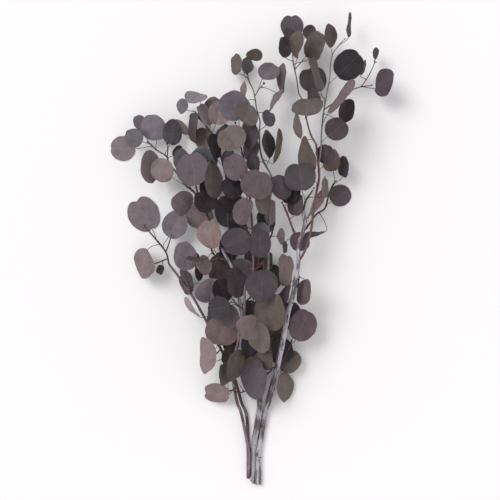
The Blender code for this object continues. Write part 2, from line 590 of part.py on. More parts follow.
def main():
    for item in list(bpy.data.objects):
        bpy.data.objects.remove(item)
    parts = bpy.data.collections.new(NAME)
    cutters = bpy.data.collections.new(NAME + "_cutters")
    for collection in (parts, cutters):
        bpy.context.scene.collection.children.link(collection)
    root = bpy.data.objects.new(NAME + "_origin", None)
    parts.objects.link(root)
    root.location = (-ORIGIN[0], -ORIGIN[1], 0)

    for name in STEMS:
        path, radii = stem_path(name, STEM_STEP)
        stem = tube(name, path, radii, 2, parts)
        finish(stem, path[0], BARK, 0.75, root)

    leaves = lay_out_leaves()
    for name, (carrier, base, twigs, specs) in SPRAYS.items():
        paths = twig_paths(name, TWIG_STEP)
        spray = tube(name, *paths[0], 1, parts)
        pieces = bpy.data.collections.new(name + "_pieces")
        bpy.context.scene.collection.children.link(pieces)
        for number, (path, radii) in enumerate(paths[1:]):
            tube(f"{name}_twig_{number}", path, radii, 0, pieces)
        for number, leaf in enumerate(leaves[name]):
            leaf_object(f"{name}_leaf_{number}", leaf, pieces)
        join_pieces(spray, pieces, "MANIFOLD")
        path, radii = carrier_path(carrier, STEM_STEP if carrier in STEMS else TWIG_STEP)
        path[-1] = path[-1] + GAP * (path[-1] - path[-2]).normalized()
        sides = 2 if carrier in STEMS else 1
        cutter = tube(name + "_seat", path, [r + GAP for r in radii], sides, cutters)
        cutter.hide_render = True
        cutter.display_type = "WIRE"
        cut_by(spray, cutter)
        tones = [leaf["tone"] for leaf in leaves[name]]
        finish(spray, paths[0][0][0], TONES[max(sorted(set(tones)), key=tones.count)], 0.6, root)


main()
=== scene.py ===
"""The looks of a bunch of five eucalyptus branches with round, dark, preserved leaves, lying on a surface.

Run it as a script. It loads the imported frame, grows a fine mesh for every stem and every leafy spray
from the same layout rule as the solids, gives them their materials, and sets the stage.
"""
import math
import random

import bpy
import numpy as np
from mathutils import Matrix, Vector
from mathutils.bvhtree import BVHTree


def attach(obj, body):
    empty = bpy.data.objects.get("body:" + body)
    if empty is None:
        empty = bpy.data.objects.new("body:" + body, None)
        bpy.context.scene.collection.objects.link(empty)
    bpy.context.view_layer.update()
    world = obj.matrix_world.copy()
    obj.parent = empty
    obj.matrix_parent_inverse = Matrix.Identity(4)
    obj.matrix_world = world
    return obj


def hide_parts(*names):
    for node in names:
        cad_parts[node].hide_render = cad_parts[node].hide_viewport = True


bl_info = {
    "name": "Eucalyptus Branch",
    "version": (1, 0, 0),
    "blender": (4, 5, 0),
    "location": "3D Viewport > Sidebar > Eucalyptus",
    "description": "Builds a bunch of preserved eucalyptus branches with its stage",
    "category": "Object",
}

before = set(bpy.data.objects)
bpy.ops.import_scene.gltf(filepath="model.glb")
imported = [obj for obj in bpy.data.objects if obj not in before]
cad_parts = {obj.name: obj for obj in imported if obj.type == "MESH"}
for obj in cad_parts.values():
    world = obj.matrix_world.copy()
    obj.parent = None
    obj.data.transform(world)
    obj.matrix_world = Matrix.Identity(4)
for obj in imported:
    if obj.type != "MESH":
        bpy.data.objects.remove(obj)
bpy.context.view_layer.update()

# The layout rule, in metres: the same values as in the solids
SQUARE = 0.00125            # one square of the layout grid
NECK = (250, 470)           # grid point where the stems leave the bundle
ORIGIN = (-0.0054, 0.2412)  # middle of the bounding box, measured from the neck
GAP = 0.0003                # clearance between pieces that touch on the real branch
BUNDLE_END = -0.050         # the stems lie side by side up to here
BLADE = 0.0008              # thickness that the layout gives to a leaf lying flat
CLEAR = 0.0010              # half the free space that the layout keeps between two blades
MARGIN_CLEAR = 0.0012       # free space round a blade's margin
STALK_CLEAR = 0.0015        # free space round a stalk's middle line
TWIG_CLEAR = 0.0011         # free space round a twig
STALK_REACH = (0.0045, 0.036)   # the shortest and the longest stalk
REST_REACH = 0.008          # how much longer the stalk of a resting leaf may be
FORK_ROOM = 0.006           # no leaf grows nearer than this to a fork
MIDDLE_ROOM = 0.002         # a seat isn't nearer than this to the leaf's middle, seen from above
AXIS_REACH = 0.004          # nor nearer than this in the leaf's own plane
SEAT_ROOM = 0.005           # leaves would rather sit this far apart
SHARED_COST = 0.006         # what it costs a seat to be nearer to another, as a length
BACKWARD_COST = 0.010       # what it costs a seat that its leaf points back along the twig
LIFT_SPREAD = 0.003         # how much a leaf's height is spread at the first try
SEAT_STEP = 0.0025          # distance between the places where a leaf can grow
OWN_STALK = 0.4             # the part of a stalk that may lie close to its own twig
TWIG_STEP = 0.014           # distance between the points of a twig, in the layout
TWIG_TAPER = 0.8            # a twig's end radius against its base radius
LEAN_LIMIT = math.radians(74)
SLIM = (0.36, 0.6)          # a leaf seen narrower than the first is a young one, slimmer by the second
SEED = 41
TRIES = 400                 # how often the rule tries to place a leaf
REST = "rest"               # the leaf lies flat on the surface

# The fine meshes
STEM_STEP = 0.0014          # distance between the rings of a stem
PATH_STEP = 0.0025          # distance between the rings of a twig
STEM_SIDES = 26
TWIG_SIDES = 9
STALK_SIDES = 7
BUD_SIDES = 7
BLADE_ROWS = 21
BLADE_COLUMNS = (-1, -0.94, -0.8, -0.6, -0.4, -0.22, -0.09, 0, 0.09, 0.22, 0.4, 0.6, 0.8, 0.94, 1)
STRAIGHT_RINGS = 23         # rings on a stem's straight stretch up to the bundle's end
NODE_SPACING = 0.031        # distance between the old leaf scars on a stem
SCAR_REACH = 0.0024         # how far a scar reaches along the stem
JOINT_REACH = 0.0030        # how far the stem swells on each side of a scar
SEAT_REACH = 0.0017         # how far a twig swells round the seat of a leaf
GROOVE = 0.00055            # half width of the groove over the midrib
GROOVE_DEPTH = (0.00016, 0.00030)   # on the upper side, and how far the midrib stands out below
MARGIN_WAVE = 0.040         # unevenness of the outline, in parts of the half width
LOBE = 0.055                # how far the lobes reach back beside the stalk, in parts of the length
RIPPLE = 0.0007             # height of a blade's ripples
CURL = 0.0011               # how far the margin of a leaf lying flat curls up
STALK_POINTS = 12
STALK_END = (0.0015, 0.0035, 0.007)   # a stalk runs on under the midrib, past the blade's base
NEEDLE = 0.0001             # radius where a stalk runs out
BUD_SIZE = (0.0010, 0.0014)
BUD_OUT = 0.0022            # distance of a bud from the tip of its twig
BUD_FORM = ((0, 0.22), (0.9, 0.2), (1.6, 0.26), (2.0, 0.52), (2.5, 0.62), (3.0, 0.5), (3.4, 0.26),
            (3.7, 0.05))    # distance along a bud and its stalk, and radius there, in bud sizes

# The stage
FLOOR_REACH = 9             # from the middle of the floor to its edges
KEY_FROM = (-0.62, 0.50, 1.0)   # where the key light comes from

# Each stem: thick end and thin end radius, place of its cut end along Y, route
STEMS = {
    "stem_right": (0.0048, 0.0026, -0.095, [
        (262, 468, 6), (266, 452, 13), (270, 435, 23), (277, 405, 40), (283, 375, 54), (288, 345, 63),
        (293, 328, 66), (296, 310, 67), (299, 290, 67), (299, 272, 66), (304, 258, 64), (306, 245, 61),
        (305, 234, 57)]),
    "stem_back": (0.0032, 0.0021, -0.091, [
        (254, 468, 4), (255, 445, 7), (240, 380, 18), (235, 340, 28), (228, 311, 36), (226, 298, 39),
        (218, 283, 41), (214, 275, 41)]),
    "stem_left": (0.0024, 0.0016, -0.087, [
        (242, 469, 4), (236, 452, 8), (230, 430, 14), (217, 398, 22), (205, 376, 27), (195, 355, 31),
        (180, 328, 33), (165, 307, 32), (154, 293, 29)]),
    "stem_centre": (0.0023, 0.0014, -0.083, [
        (236, 465, 14), (231, 450, 22), (227, 425, 34), (228, 405, 44), (233, 375, 58), (239, 350, 68),
        (240, 322, 76), (244, 308, 78), (249, 299, 79), (248, 250, 82), (246, 230, 82), (244, 198, 80)]),
    "stem_tall": (0.0026, 0.0015, -0.093, [
        (257, 466, 14), (258, 440, 22), (262, 400, 36), (265, 350, 50), (266, 292, 58), (266, 258, 60),
        (267, 225, 60), (271, 203, 58), (267, 190, 57)]),
}

# Each spray: what it grows from, base radius, twigs (the first is the main one), leaves. A leaf is
# column, row, width, height, tone, lift over its twig in mm or REST, turn of its long side in degrees.
SPRAYS = {
    "spray_left_tip": ("stem_left", 0.0014, [
        [(154, 293, 29), (150, 279, 26), (137, 263, 21), (126, 251, 15)],
        [(150, 280, 26), (154, 270, 30), (156, 263, 32)],
        [(152, 287, 28), (142, 291, 25), (136, 293, 22)]], [
        (123, 235, 39, 30, "M", REST), (126, 293, 25, 37, "B", 4), (161, 248, 32, 33, "M", 5),
        (144, 300, 9, 11, "D", -5)]),
    "spray_left_mid": ("stem_left", 0.0012, [
        [(180, 328, 33), (177, 316, 38), (172, 301, 42)]], [
        (173, 283, 30, 32, "M", 3), (173, 312, 13, 30, "D", 2), (187, 296, 9, 30, "D", -6)]),
    "spray_left_low": ("stem_left", 0.0012, [
        [(197, 359, 31), (199, 347, 36), (199, 340, 40)]], [
        (203, 322, 37, 33, "M", 4), (181, 341, 8, 28, "T", 4, -31), (210, 354, 26, 22, "D", -6)]),
    "spray_left_base": ("stem_left", 0.0012, [
        [(214, 392, 24), (212, 386, 30), (210, 381, 34)],
        [(213, 389, 27), (206, 396, 31), (202, 402, 33)]], [
        (214, 367, 36, 33, "B", 5), (200, 394, 19, 39, "B", 5), (222, 396, 20, 26, "O", -8)]),
    "spray_collar_left": ("stem_left", 0.0012, [
        [(231, 434, 13), (225, 437, 18), (220, 437, 21)]], [
        (207, 440, 29, 26, "B", 3), (218, 414, 20, 36, "O", -3)]),
    "spray_collar_front": ("stem_centre", 0.0012, [
        [(229, 437, 28), (234, 438, 36), (238, 436, 41)]], [
        (251, 421, 31, 44, "P", 8), (229, 405, 22, 36, "O", 3), (242, 402, 22, 32, "D", -22)]),
    "spray_left_inner": ("stem_back", 0.0012, [
        [(221, 288, 40), (212, 287, 36), (204, 281, 36), (201, 272, 38)]], [
        (216, 299, 32, 38, "P", -14), (194, 294, 16, 23, "T", 2), (184, 287, 20, 6, "D", 0),
        (203, 258, 22, 34, "B", 5), (222, 275, 22, 28, "N", -10), (206, 288, 18, 22, "D", -20)]),
    "spray_core_back": ("stem_back", 0.0012, [
        [(235, 340, 28), (243, 334, 21), (252, 324, 15), (257, 314, 12)]], [
        (248, 350, 23, 29, "N", -3), (264, 338, 24, 30, "N", 0), (271, 308, 26, 30, "N", 2),
        (248, 303, 22, 30, "N", 0), (262, 290, 22, 28, "O", 3)]),
    "spray_base_back": ("stem_back", 0.0012, [
        [(240, 380, 18), (248, 372, 13), (258, 364, 11)]], [
        (248, 396, 24, 30, "O", 2), (270, 378, 24, 30, "O", 2), (276, 356, 22, 28, "D", 0),
        (224, 384, 22, 28, "N", 4)]),
    "spray_upper_left": ("stem_back", 0.0018, [
        [(214, 275, 41), (210, 262, 41), (200, 243, 40), (187, 217, 39), (172, 203, 37)],
        [(187, 217, 39), (186, 209, 43), (185, 204, 45)]], [
        (182, 186, 38, 38, "P", 7), (194, 174, 32, 28, "S", -8), (169, 224, 20, 32, "M", 2),
        (147, 187, 27, 28, "B", 2), (168, 174, 20, 26, "S", -9),
        (188, 236, 18, 38, "B", 5), (196, 222, 22, 30, "N", -5),
        (178, 164, 26, 24, "M", 15), (198, 206, 20, 28, "D", -9)]),
    "spray_upper_left_tip": ("spray_upper_left", 0.0012, [
        [(172, 203, 37), (155, 179, 32), (151, 171, 30), (139, 163, 25), (131, 155, 19)],
        [(152, 173, 31), (153, 165, 35), (153, 159, 37)]], [
        (158, 143, 22, 30, "S", 4), (137, 138, 31, 28, "M", 5), (120, 132, 15, 18, "M", 0),
        (114, 150, 22, 22, "S", 6), (99, 160, 20, 28, "T", REST), (164, 166, 12, 16, "D", -4),
        (133, 183, 20, 37, "T", -3)]),
    "spray_crown_left": ("stem_back", 0.0017, [
        [(228, 311, 36), (224, 270, 35), (220, 230, 37), (218, 212, 37), (219, 198, 37), (215, 180, 38),
         (205, 150, 36), (190, 130, 32), (184, 121, 28)]], [
        (222, 232, 38, 34, "D", 7), (206, 198, 18, 42, "O", 3), (204, 163, 14, 31, "N", 0),
        (222, 172, 16, 20, "D", -8), (210, 123, 26, 27, "T", 7), (204, 113, 20, 20, "O", -4),
        (194, 126, 17, 26, "T", 2), (181, 138, 13, 32, "D", 0), (167, 136, 7, 24, "B", 6, -45),
        (169, 114, 15, 18, "S", 0), (185, 109, 26, 21, "M", 4),
        (226, 222, 22, 30, "N", -12), (232, 255, 22, 28, "N", -10), (216, 148, 18, 28, "D", -9),
        (192, 150, 20, 24, "B", -6)]),
    "spray_centre_low": ("stem_centre", 0.0011, [
        [(235, 368, 60), (241, 358, 64), (245, 350, 66)]], [
        (241, 360, 24, 30, "B", 8), (244, 385, 22, 27, "N", -8), (258, 374, 27, 34, "O", 4),
        (237, 390, 22, 32, "N", -24)]),
    "spray_centre_left": ("stem_centre", 0.0011, [
        [(239, 343, 70), (231, 337, 70), (226, 330, 68)]], [
        (230, 312, 24, 34, "D", 2), (214, 322, 20, 28, "N", -8), (222, 350, 24, 30, "D", 0),
        (212, 340, 18, 26, "N", 4)]),
    "spray_centre_mid": ("stem_centre", 0.0011, [
        [(249, 300, 79), (255, 296, 84), (259, 290, 87)]], [
        (259, 316, 36, 38, "D", -3), (256, 270, 27, 30, "D", 2), (240, 300, 20, 34, "D", -10)]),
    "spray_centre_high": ("stem_centre", 0.0011, [
        [(248, 264, 81), (243, 256, 85), (240, 252, 87)]], [
        (230, 268, 34, 31, "D", 0), (240, 235, 24, 31, "P", 5), (258, 257, 21, 21, "S", -7),
        (250, 284, 24, 30, "D", -14)]),
    "spray_centre_upper": ("stem_centre", 0.0011, [
        [(246, 232, 82), (243, 224, 86), (242, 215, 88)]], [
        (253, 205, 32, 34, "P", 4), (226, 208, 22, 26, "N", -7), (229, 186, 30, 30, "P", 2),
        (260, 226, 18, 26, "O", -8)]),
    "spray_centre_tip": ("stem_centre", 0.0012, [
        [(244, 198, 80), (238, 174, 76), (232, 147, 68), (230, 138, 63)]], [
        (225, 155, 32, 31, "O", 4), (247, 152, 16, 30, "D", -5), (250, 180, 14, 22, "D", -10),
        (229, 119, 41, 29, "M", 6), (243, 129, 36, 26, "O", -8)]),
    "spray_collar_top": ("stem_tall", 0.0012, [
        [(260, 421, 28), (266, 416, 36), (271, 410, 42)]], [
        (260, 394, 30, 36, "O", 2), (280, 390, 26, 30, "N", -16)]),
    "spray_core_top": ("stem_tall", 0.0012, [
        [(263, 394, 38), (268, 384, 46), (270, 374, 51)]], [
        (268, 343, 27, 46, "O", 3), (252, 372, 28, 32, "D", -10), (282, 354, 22, 30, "D", -12)]),
    "spray_mid_top": ("stem_tall", 0.0012, [
        [(266, 268, 59), (270, 259, 57), (272, 252, 55)]], [
        (268, 233, 16, 30, "M", 0), (280, 262, 9, 18, "B", -5), (262, 244, 18, 28, "D", -14)]),
    "spray_top_low": ("stem_tall", 0.0013, [
        [(267, 190, 57), (260, 177, 55), (257, 165, 53), (256, 148, 50), (257, 133, 47)]], [
        (265, 159, 14, 33, "D", 5), (248, 165, 18, 26, "M", 3), (275, 161, 7, 38, "O", 2, 12),
        (266, 130, 16, 20, "S", 3), (245, 138, 14, 20, "D", -8)]),
    "spray_top_tip": ("spray_top_low", 0.0009, [
        [(257, 133, 47), (253, 118, 42), (250, 99, 36), (245, 87, 31), (243, 79, 27)],
        [(251, 104, 38), (256, 96, 38), (260, 91, 37)]], [
        (275, 109, 7, 28, "M", 3, 31), (267, 77, 27, 20, "M", 4), (251, 56, 18, 12, "O", 3),
        (230, 66, 14, 24, "O", -3), (242, 66, 13, 18, "S", -6), (239, 97, 6, 20, "B", 0),
        (283, 82, 10, 32, "O", -3)]),
    "spray_right_low": ("stem_right", 0.0014, [
        [(275, 414, 35), (280, 406, 33), (287, 392, 34), (292, 381, 37)]], [
        (284, 434, 22, 34, "O", -14), (291, 404, 24, 31, "O", -12), (304, 361, 33, 36, "P", 0),
        (292, 350, 24, 30, "D", -16)]),
    "spray_right_inner": ("stem_right", 0.0012, [
        [(294, 323, 66), (299, 316, 62), (300, 308, 57)]], [
        (306, 324, 13, 30, "B", 0, 14), (286, 299, 19, 40, "B", -14), (284, 328, 20, 32, "D", -16),
        (284, 284, 14, 26, "N", -16)]),
    "spray_right_fork_left": ("stem_right", 0.0015, [
        [(299, 271, 66), (295, 260, 66), (288, 240, 65), (282, 226, 64)]], [
        (279, 208, 26, 28, "D", 3), (301, 268, 23, 22, "P", -14), (284, 274, 6, 14, "D", 0),
        (297, 226, 20, 24, "D", -6), (290, 212, 22, 28, "N", -8)]),
    "spray_right_fork_mid": ("stem_right", 0.0014, [
        [(305, 234, 57), (308, 222, 53), (316, 210, 46)]], [
        (301, 196, 36, 33, "D", 5), (328, 206, 9, 24, "B", 0)]),
    "spray_right_fork_out": ("stem_right", 0.0015, [
        [(304, 258, 64), (314, 245, 54), (320, 237, 48), (330, 230, 40), (334, 217, 31), (338, 207, 23),
         (342, 200, 18)]], [
        (350, 214, 24, 20, "P", REST), (352, 182, 10, 25, "D", 3), (340, 174, 15, 28, "B", 3),
        (318, 258, 22, 6, "D", -4), (320, 222, 8, 40, "B", 5, 16)]),
    "spray_right_long": ("stem_right", 0.0020, [
        [(299, 290, 67), (306, 278, 69), (313, 255, 69), (316, 230, 68), (320, 208, 67), (322, 197, 66),
         (321, 180, 65), (319, 160, 62)]], [
        (330, 171, 20, 24, "D", -6), (309, 172, 15, 42, "O", 3)]),
    "spray_crown_mid": ("spray_right_long", 0.0013, [
        [(319, 160, 62), (313, 149, 60), (308, 130, 56), (304, 110, 50), (300, 102, 47)]], [
        (300, 136, 9, 34, "B", 2), (309, 119, 36, 16, "O", 5), (316, 108, 12, 26, "D", 0)]),
    "spray_crown_mid_tip": ("spray_crown_mid", 0.0009, [
        [(300, 102, 47), (298, 84, 39), (295, 68, 31), (294, 52, 24), (295, 41, 18)],
        [(296, 74, 34), (302, 67, 36), (308, 60, 36)]], [
        (319, 46, 21, 33, "O", 3), (301, 47, 14, 34, "O", 8), (284, 47, 17, 26, "P", 0),
        (294, 19, 26, 19, "P", REST), (314, 28, 15, 16, "D", -3), (290, 33, 12, 16, "D", 8)]),
    "spray_crown_right": ("spray_right_long", 0.0013, [
        [(321, 184, 65), (324, 168, 66), (325, 145, 62), (328, 121, 55), (331, 105, 50)]], [
        (341, 144, 26, 26, "D", 3), (318, 80, 16, 42, "O", 8), (346, 108, 13, 44, "B", 9, 28),
        (354, 121, 17, 28, "D", -8), (317, 83, 31, 31, "D", -3)]),
    "spray_crown_right_tip": ("spray_crown_right", 0.0009, [
        [(331, 105, 50), (335, 83, 44), (336, 70, 40), (339, 56, 35), (346, 46, 30), (351, 40, 27)]], [
        (356, 70, 33, 34, "N", 4), (358, 22, 7, 28, "D", 0, 10), (335, 36, 17, 26, "P", 3)]),
    "spray_crown_far": ("spray_crown_right", 0.0009, [
        [(328, 121, 55), (343, 110, 50), (350, 105, 47), (359, 98, 42), (371, 93, 34), (382, 91, 27)],
        [(371, 93, 34), (378, 83, 30), (384, 72, 26), (387, 65, 23)]], [
        (397, 88, 18, 33, "P", 2), (373, 71, 6, 18, "O", 0, 20), (388, 54, 6, 13, "D", 0)]),
}


def grid_point(column, row, height):
    """The point of a grid place at a height in millimetres, in metres from the neck."""
    return Vector(((column - NECK[0]) * SQUARE, (NECK[1] - row) * SQUARE, height / 1000))


def smooth(points, step):
    """Points every step or so along a rounded path through the given points."""
    ends = [2 * points[0] - points[1], *points, 2 * points[-1] - points[-2]]
    path = []
    for a, b, c, d in zip(ends, ends[1:], ends[2:], ends[3:]):
        count = max(1, round((c - b).length / step))
        for i in range(count):
            t = i / count
            path.append(0.5 * (2 * b + (c - a) * t + (2 * a - 5 * b + 4 * c - d) * t**2
                               + (3 * b - a - 3 * c + d) * t**3))
    return path + [points[-1]]


def nest(left, right, radius):
    """The place (x, z) of a stem of this radius that lies in the groove on two others (x, z, radius)."""
    span = math.hypot(right[0] - left[0], right[1] - left[1])
    to_left = left[2] + radius + GAP
    to_right = right[2] + radius + GAP
    along = (to_left**2 - to_right**2 + span**2) / (2 * span)
    up = math.sqrt(to_left**2 - along**2)
    ux, uz = (right[0] - left[0]) / span, (right[1] - left[1]) / span
    return left[0] + along * ux - up * uz, left[1] + along * uz + up * ux


def bundle_places():
    """Where each stem lies in the bundle: three on the surface, two in the grooves on them."""
    flat = math.cos(math.pi / 8)
    radius = {name: spec[0] for name, spec in STEMS.items()}
    places, x, before = {}, 0.006, None
    for name in ("stem_right", "stem_back", "stem_left"):
        if before:
            rise = (radius[before] - radius[name]) * flat
            x -= math.sqrt((radius[before] + radius[name] + GAP) ** 2 - rise**2)
        places[name] = (x, radius[name] * flat)
        before = name
    on = {name: (*place, radius[name]) for name, place in places.items()}
    places["stem_centre"] = nest(on["stem_left"], on["stem_back"], radius["stem_centre"])
    places["stem_tall"] = nest(on["stem_back"], on["stem_right"], radius["stem_tall"])
    return places


def tapered(path, thick, thin):
    """A radius for each point of a path, from its thick end to its thin end."""
    lengths = [0.0]
    for a, b in zip(path, path[1:]):
        lengths.append(lengths[-1] + (b - a).length)
    return [thick + (thin - thick) * s / lengths[-1] for s in lengths]


def stem_path(name, step):
    """A stem's points and radii, from its cut end to its thin end."""
    thick, thin, cut, route = STEMS[name]
    x, z = bundle_places()[name]
    start = Vector((x, cut, z))
    end = Vector((x, BUNDLE_END, z))
    path = [start] + smooth([end] + [grid_point(*p) for p in route], step)
    return path, tapered(path, thick, thin)


def twig_paths(name, step):
    """The points and radii of each twig of a spray. The first one is its main twig."""
    base, twigs = SPRAYS[name][1], SPRAYS[name][2]
    paths = []
    for number, route in enumerate(twigs):
        thick = base if number == 0 else 0.8 * base
        path = smooth([grid_point(*p) for p in route], step)
        paths.append((path, tapered(path, thick, TWIG_TAPER * thick)))
    return paths


def sleeve_faces(first, rings, sides):
    """The triangles of a sleeve round rings of points, where the first point has this number."""
    faces = []
    for ring in range(rings - 1):
        for k in range(sides):
            a, b = first + ring * sides + k, first + ring * sides + (k + 1) % sides
            faces += [(a, b, b + sides), (a, b + sides, a + sides)]
    return faces


def tube_tree(path, radii, margin):
    """A search tree of a six-sided tube round a path, for testing what would touch it."""
    points, sides = [], 6
    for i in range(len(path)):
        ahead = path[min(i + 1, len(path) - 1)] - path[max(i - 1, 0)]
        across = ahead.cross(Vector((0.3, 0.2, 1))).normalized()
        upward = across.cross(ahead).normalized()
        for k in range(sides):
            turn = 2 * math.pi * k / sides
            reach = radii[i] + margin
            points.append(path[i] + reach * (math.cos(turn) * across + math.sin(turn) * upward))
    faces = sleeve_faces(0, len(path), sides)
    return BVHTree.FromPolygons(points, faces, all_triangles=True)


def half_width(leaf, u):
    """Half the width of a blade at the part u of its length: nearly round, widest below the middle."""
    return 0.5 * leaf["width"] * max(0.0, 4 * u * (1 - u)) ** leaf["full"] * (1 + leaf["egg"] * (0.5 - u))


def blade_point(leaf, u, v, lift=0.0, margin=0.0):
    """A point of the blade, at the part u of its length and v (-1 to 1) of its half width."""
    half = half_width(leaf, min(1.0, max(0.0, u))) + margin
    rise = leaf["arch"] * 4 * u * (1 - u) + leaf["fold"] * abs(v) * half
    rise += leaf["wave"] * v * abs(v) * math.sin(2 * math.pi * u + leaf["phase"])
    notch = leaf["notch"] * (1 - abs(v)) if u > 0.999 else 0.0
    along = u * leaf["length"] - notch
    return leaf["base"] + along * leaf["axis"] + v * half * leaf["side"] + (rise + lift) * leaf["normal"]


def stalk_point(leaf, t):
    """A point of the stalk, from its seat on the twig (t = 0) to the blade's base (t = 1)."""
    a, b, c, d = leaf["stalk"]
    s = 1 - t
    return s**3 * a + 3 * s * s * t * b + 3 * s * t * t * c + t**3 * d


def leaf_tree(leaf, start_of_stalk):
    """A search tree of a slab round the blade and of a sleeve round the stalk, and its lowest point."""
    points, faces = [], []
    rows = 9
    for lift in (-CLEAR, CLEAR):
        for i in range(rows):
            u = -0.03 + 1.06 * (1 - math.cos(math.pi * i / (rows - 1))) / 2
            for v in (-1, 0, 1):
                points.append(blade_point(leaf, u, v, lift, MARGIN_CLEAR))
    under = rows * 3
    for i in range(rows - 1):
        for k in range(2):
            a = i * 3 + k
            for m in (0, under):
                faces += [(a + m, a + m + 1, a + m + 4), (a + m, a + m + 4, a + m + 3)]
        for a in (i * 3, i * 3 + 2):
            faces += [(a, a + 3, a + 3 + under), (a, a + 3 + under, a + under)]
    times = [start_of_stalk + (1 - start_of_stalk) * i / 4 for i in range(5)]
    faces += sleeve_faces(len(points), len(times), 3)
    for t in times:
        centre = stalk_point(leaf, t)
        for k in range(3):
            turn = 2 * math.pi * k / 3
            outward = math.cos(turn) * leaf["side"] + math.sin(turn) * leaf["normal"]
            points.append(centre + STALK_CLEAR * outward)
    low = min(point.z for point in points)
    return BVHTree.FromPolygons(points, faces, all_triangles=True), low


def draw_leaf(spec, seats, used, rng, attempt):
    """One try at a leaf: its seat, stalk and blade, or None where the stalk can't reach."""
    column, row, wide, high, tone = spec[:5]
    lift = spec[5] if len(spec) > 5 else 0
    turn = math.radians(spec[6]) if len(spec) > 6 else (0.0 if wide < high else math.pi / 2)
    resting = lift == REST
    size = max(wide, high) * SQUARE * rng.uniform(0.98, 1.04) * (1.0 if attempt < TRIES / 2 else 0.88)
    narrow = min(wide, high) / max(wide, high)
    slim = narrow < SLIM[0] and not resting
    ratio = rng.uniform(0.86, 1.12) * (SLIM[1] if slim else 1.0)
    length = size / max(1.0, ratio)
    width = length * ratio
    lean = min(LEAN_LIMIT, math.acos(min(1.0, narrow / SLIM[1] if slim else narrow)))
    lean *= rng.choice((-1, 1))
    normal = Vector((math.sin(lean) * math.cos(turn), -math.sin(lean) * math.sin(turn), math.cos(lean)))
    loose = 0.10 + 0.40 * attempt / TRIES
    normal += Vector((rng.gauss(0, loose), rng.gauss(0, loose), 0))
    normal.normalize()
    middle = grid_point(column, row, 0)
    reach = length / 2 + length * rng.uniform(0.28, 0.5)
    best = None
    for number, (point, ahead) in enumerate(seats):
        away = middle - Vector((point.x, point.y, 0))
        if away.length < MIDDLE_ROOM:
            continue
        flat = Vector((ahead.x, ahead.y, 0))
        miss = abs(away.length - reach) + BACKWARD_COST * max(0.0, 0.4 - away.normalized().dot(flat))
        miss += sum(SHARED_COST for other in used if (other - point).length < SEAT_ROOM)
        miss += rng.uniform(0, 0.002 + 0.015 * attempt / TRIES)
        if best is None or miss < best[0]:
            best = (miss, number)
    seat, ahead = seats[best[1]]
    if resting:
        normal = Vector((0, 0, 1))
        middle.z = BLADE / 2
    else:
        middle.z = seat.z + lift / 1000 + rng.gauss(0, LIFT_SPREAD + 0.030 * attempt / TRIES)
    axis = middle - seat
    axis -= axis.dot(normal) * normal
    if axis.length < AXIS_REACH:
        return None
    if slim:
        long_side = Vector((math.sin(turn), math.cos(turn), 0))
        axis = long_side if axis.dot(long_side) > 0 else -long_side
        axis -= axis.dot(normal) * normal
    axis.normalize()
    base = middle - 0.5 * length * axis
    run = (base - seat).length
    longest = STALK_REACH[1] + (REST_REACH if resting else 0)
    if not STALK_REACH[0] < run < longest or (base - seat).dot(axis) < -0.2 * run:
        return None
    outward = (base - seat).normalized()
    start = (outward + 0.5 * ahead).normalized()
    leaf = {
        "base": base, "axis": axis, "normal": normal, "side": axis.cross(normal), "length": length,
        "width": width, "egg": rng.uniform(0.0, 0.36), "full": 0.6 if slim else rng.uniform(0.43, 0.5),
        "tone": tone, "seat": seat, "notch": 0.0 if slim else length * rng.choice((0.0, 0.03, 0.06, 0.09)),
        "stalk": (seat, seat + 0.35 * run * start, base - 0.3 * run * axis, base),
        "arch": rng.uniform(-0.05, 0.07) * length, "fold": rng.uniform(-0.05, 0.22),
        "wave": rng.uniform(0.01, 0.05) * length, "phase": rng.uniform(0, 6.3), "flat": resting,
    }
    if resting:
        leaf.update(arch=0.0, fold=0.0, wave=0.0)
    return leaf


def lay_out_leaves():
    """Every leaf of every spray, each clear of all stems, twigs and earlier leaves."""
    woods = {name: [tube_tree(*stem_path(name, STEM_STEP), TWIG_CLEAR)] for name in STEMS}
    for name in SPRAYS:
        woods[name] = [tube_tree(*twig, TWIG_CLEAR) for twig in twig_paths(name, TWIG_STEP)]
    leaves, placed = {}, []
    forks = [grid_point(*spec[2][0][0]) for spec in SPRAYS.values()]
    for order, (name, spray) in enumerate(SPRAYS.items()):
        seats = []
        for path, _ in twig_paths(name, SEAT_STEP):
            for i in range(3, len(path)):
                if min((path[i] - fork).length for fork in forks) > FORK_ROOM:
                    seats.append((path[i], (path[i] - path[i - 1]).normalized()))
        leaves[name], used = [], []
        for number, spec in enumerate(spray[3]):
            rng = random.Random(SEED + 1000 * order + number)
            for attempt in range(TRIES):
                leaf = draw_leaf(spec, seats, used, rng, attempt)
                if leaf is None:
                    continue
                tree, low = leaf_tree(leaf, 0.0)
                if not leaf["flat"] and low < 0:
                    continue
                centre = leaf["base"] + 0.5 * leaf["length"] * leaf["axis"]
                near = [t for c, r, t in placed if (c - centre).length < r + leaf["length"] + 0.04]
                others = [t for owner in woods if owner != name for t in woods[owner]]
                if any(tree.overlap(other) for other in near + others):
                    continue
                if any(leaf_tree(leaf, OWN_STALK)[0].overlap(twig) for twig in woods[name]):
                    continue
                leaves[name].append(leaf)
                used.append(leaf["seat"])
                placed.append((centre, leaf["length"], tree))
                break
    return leaves


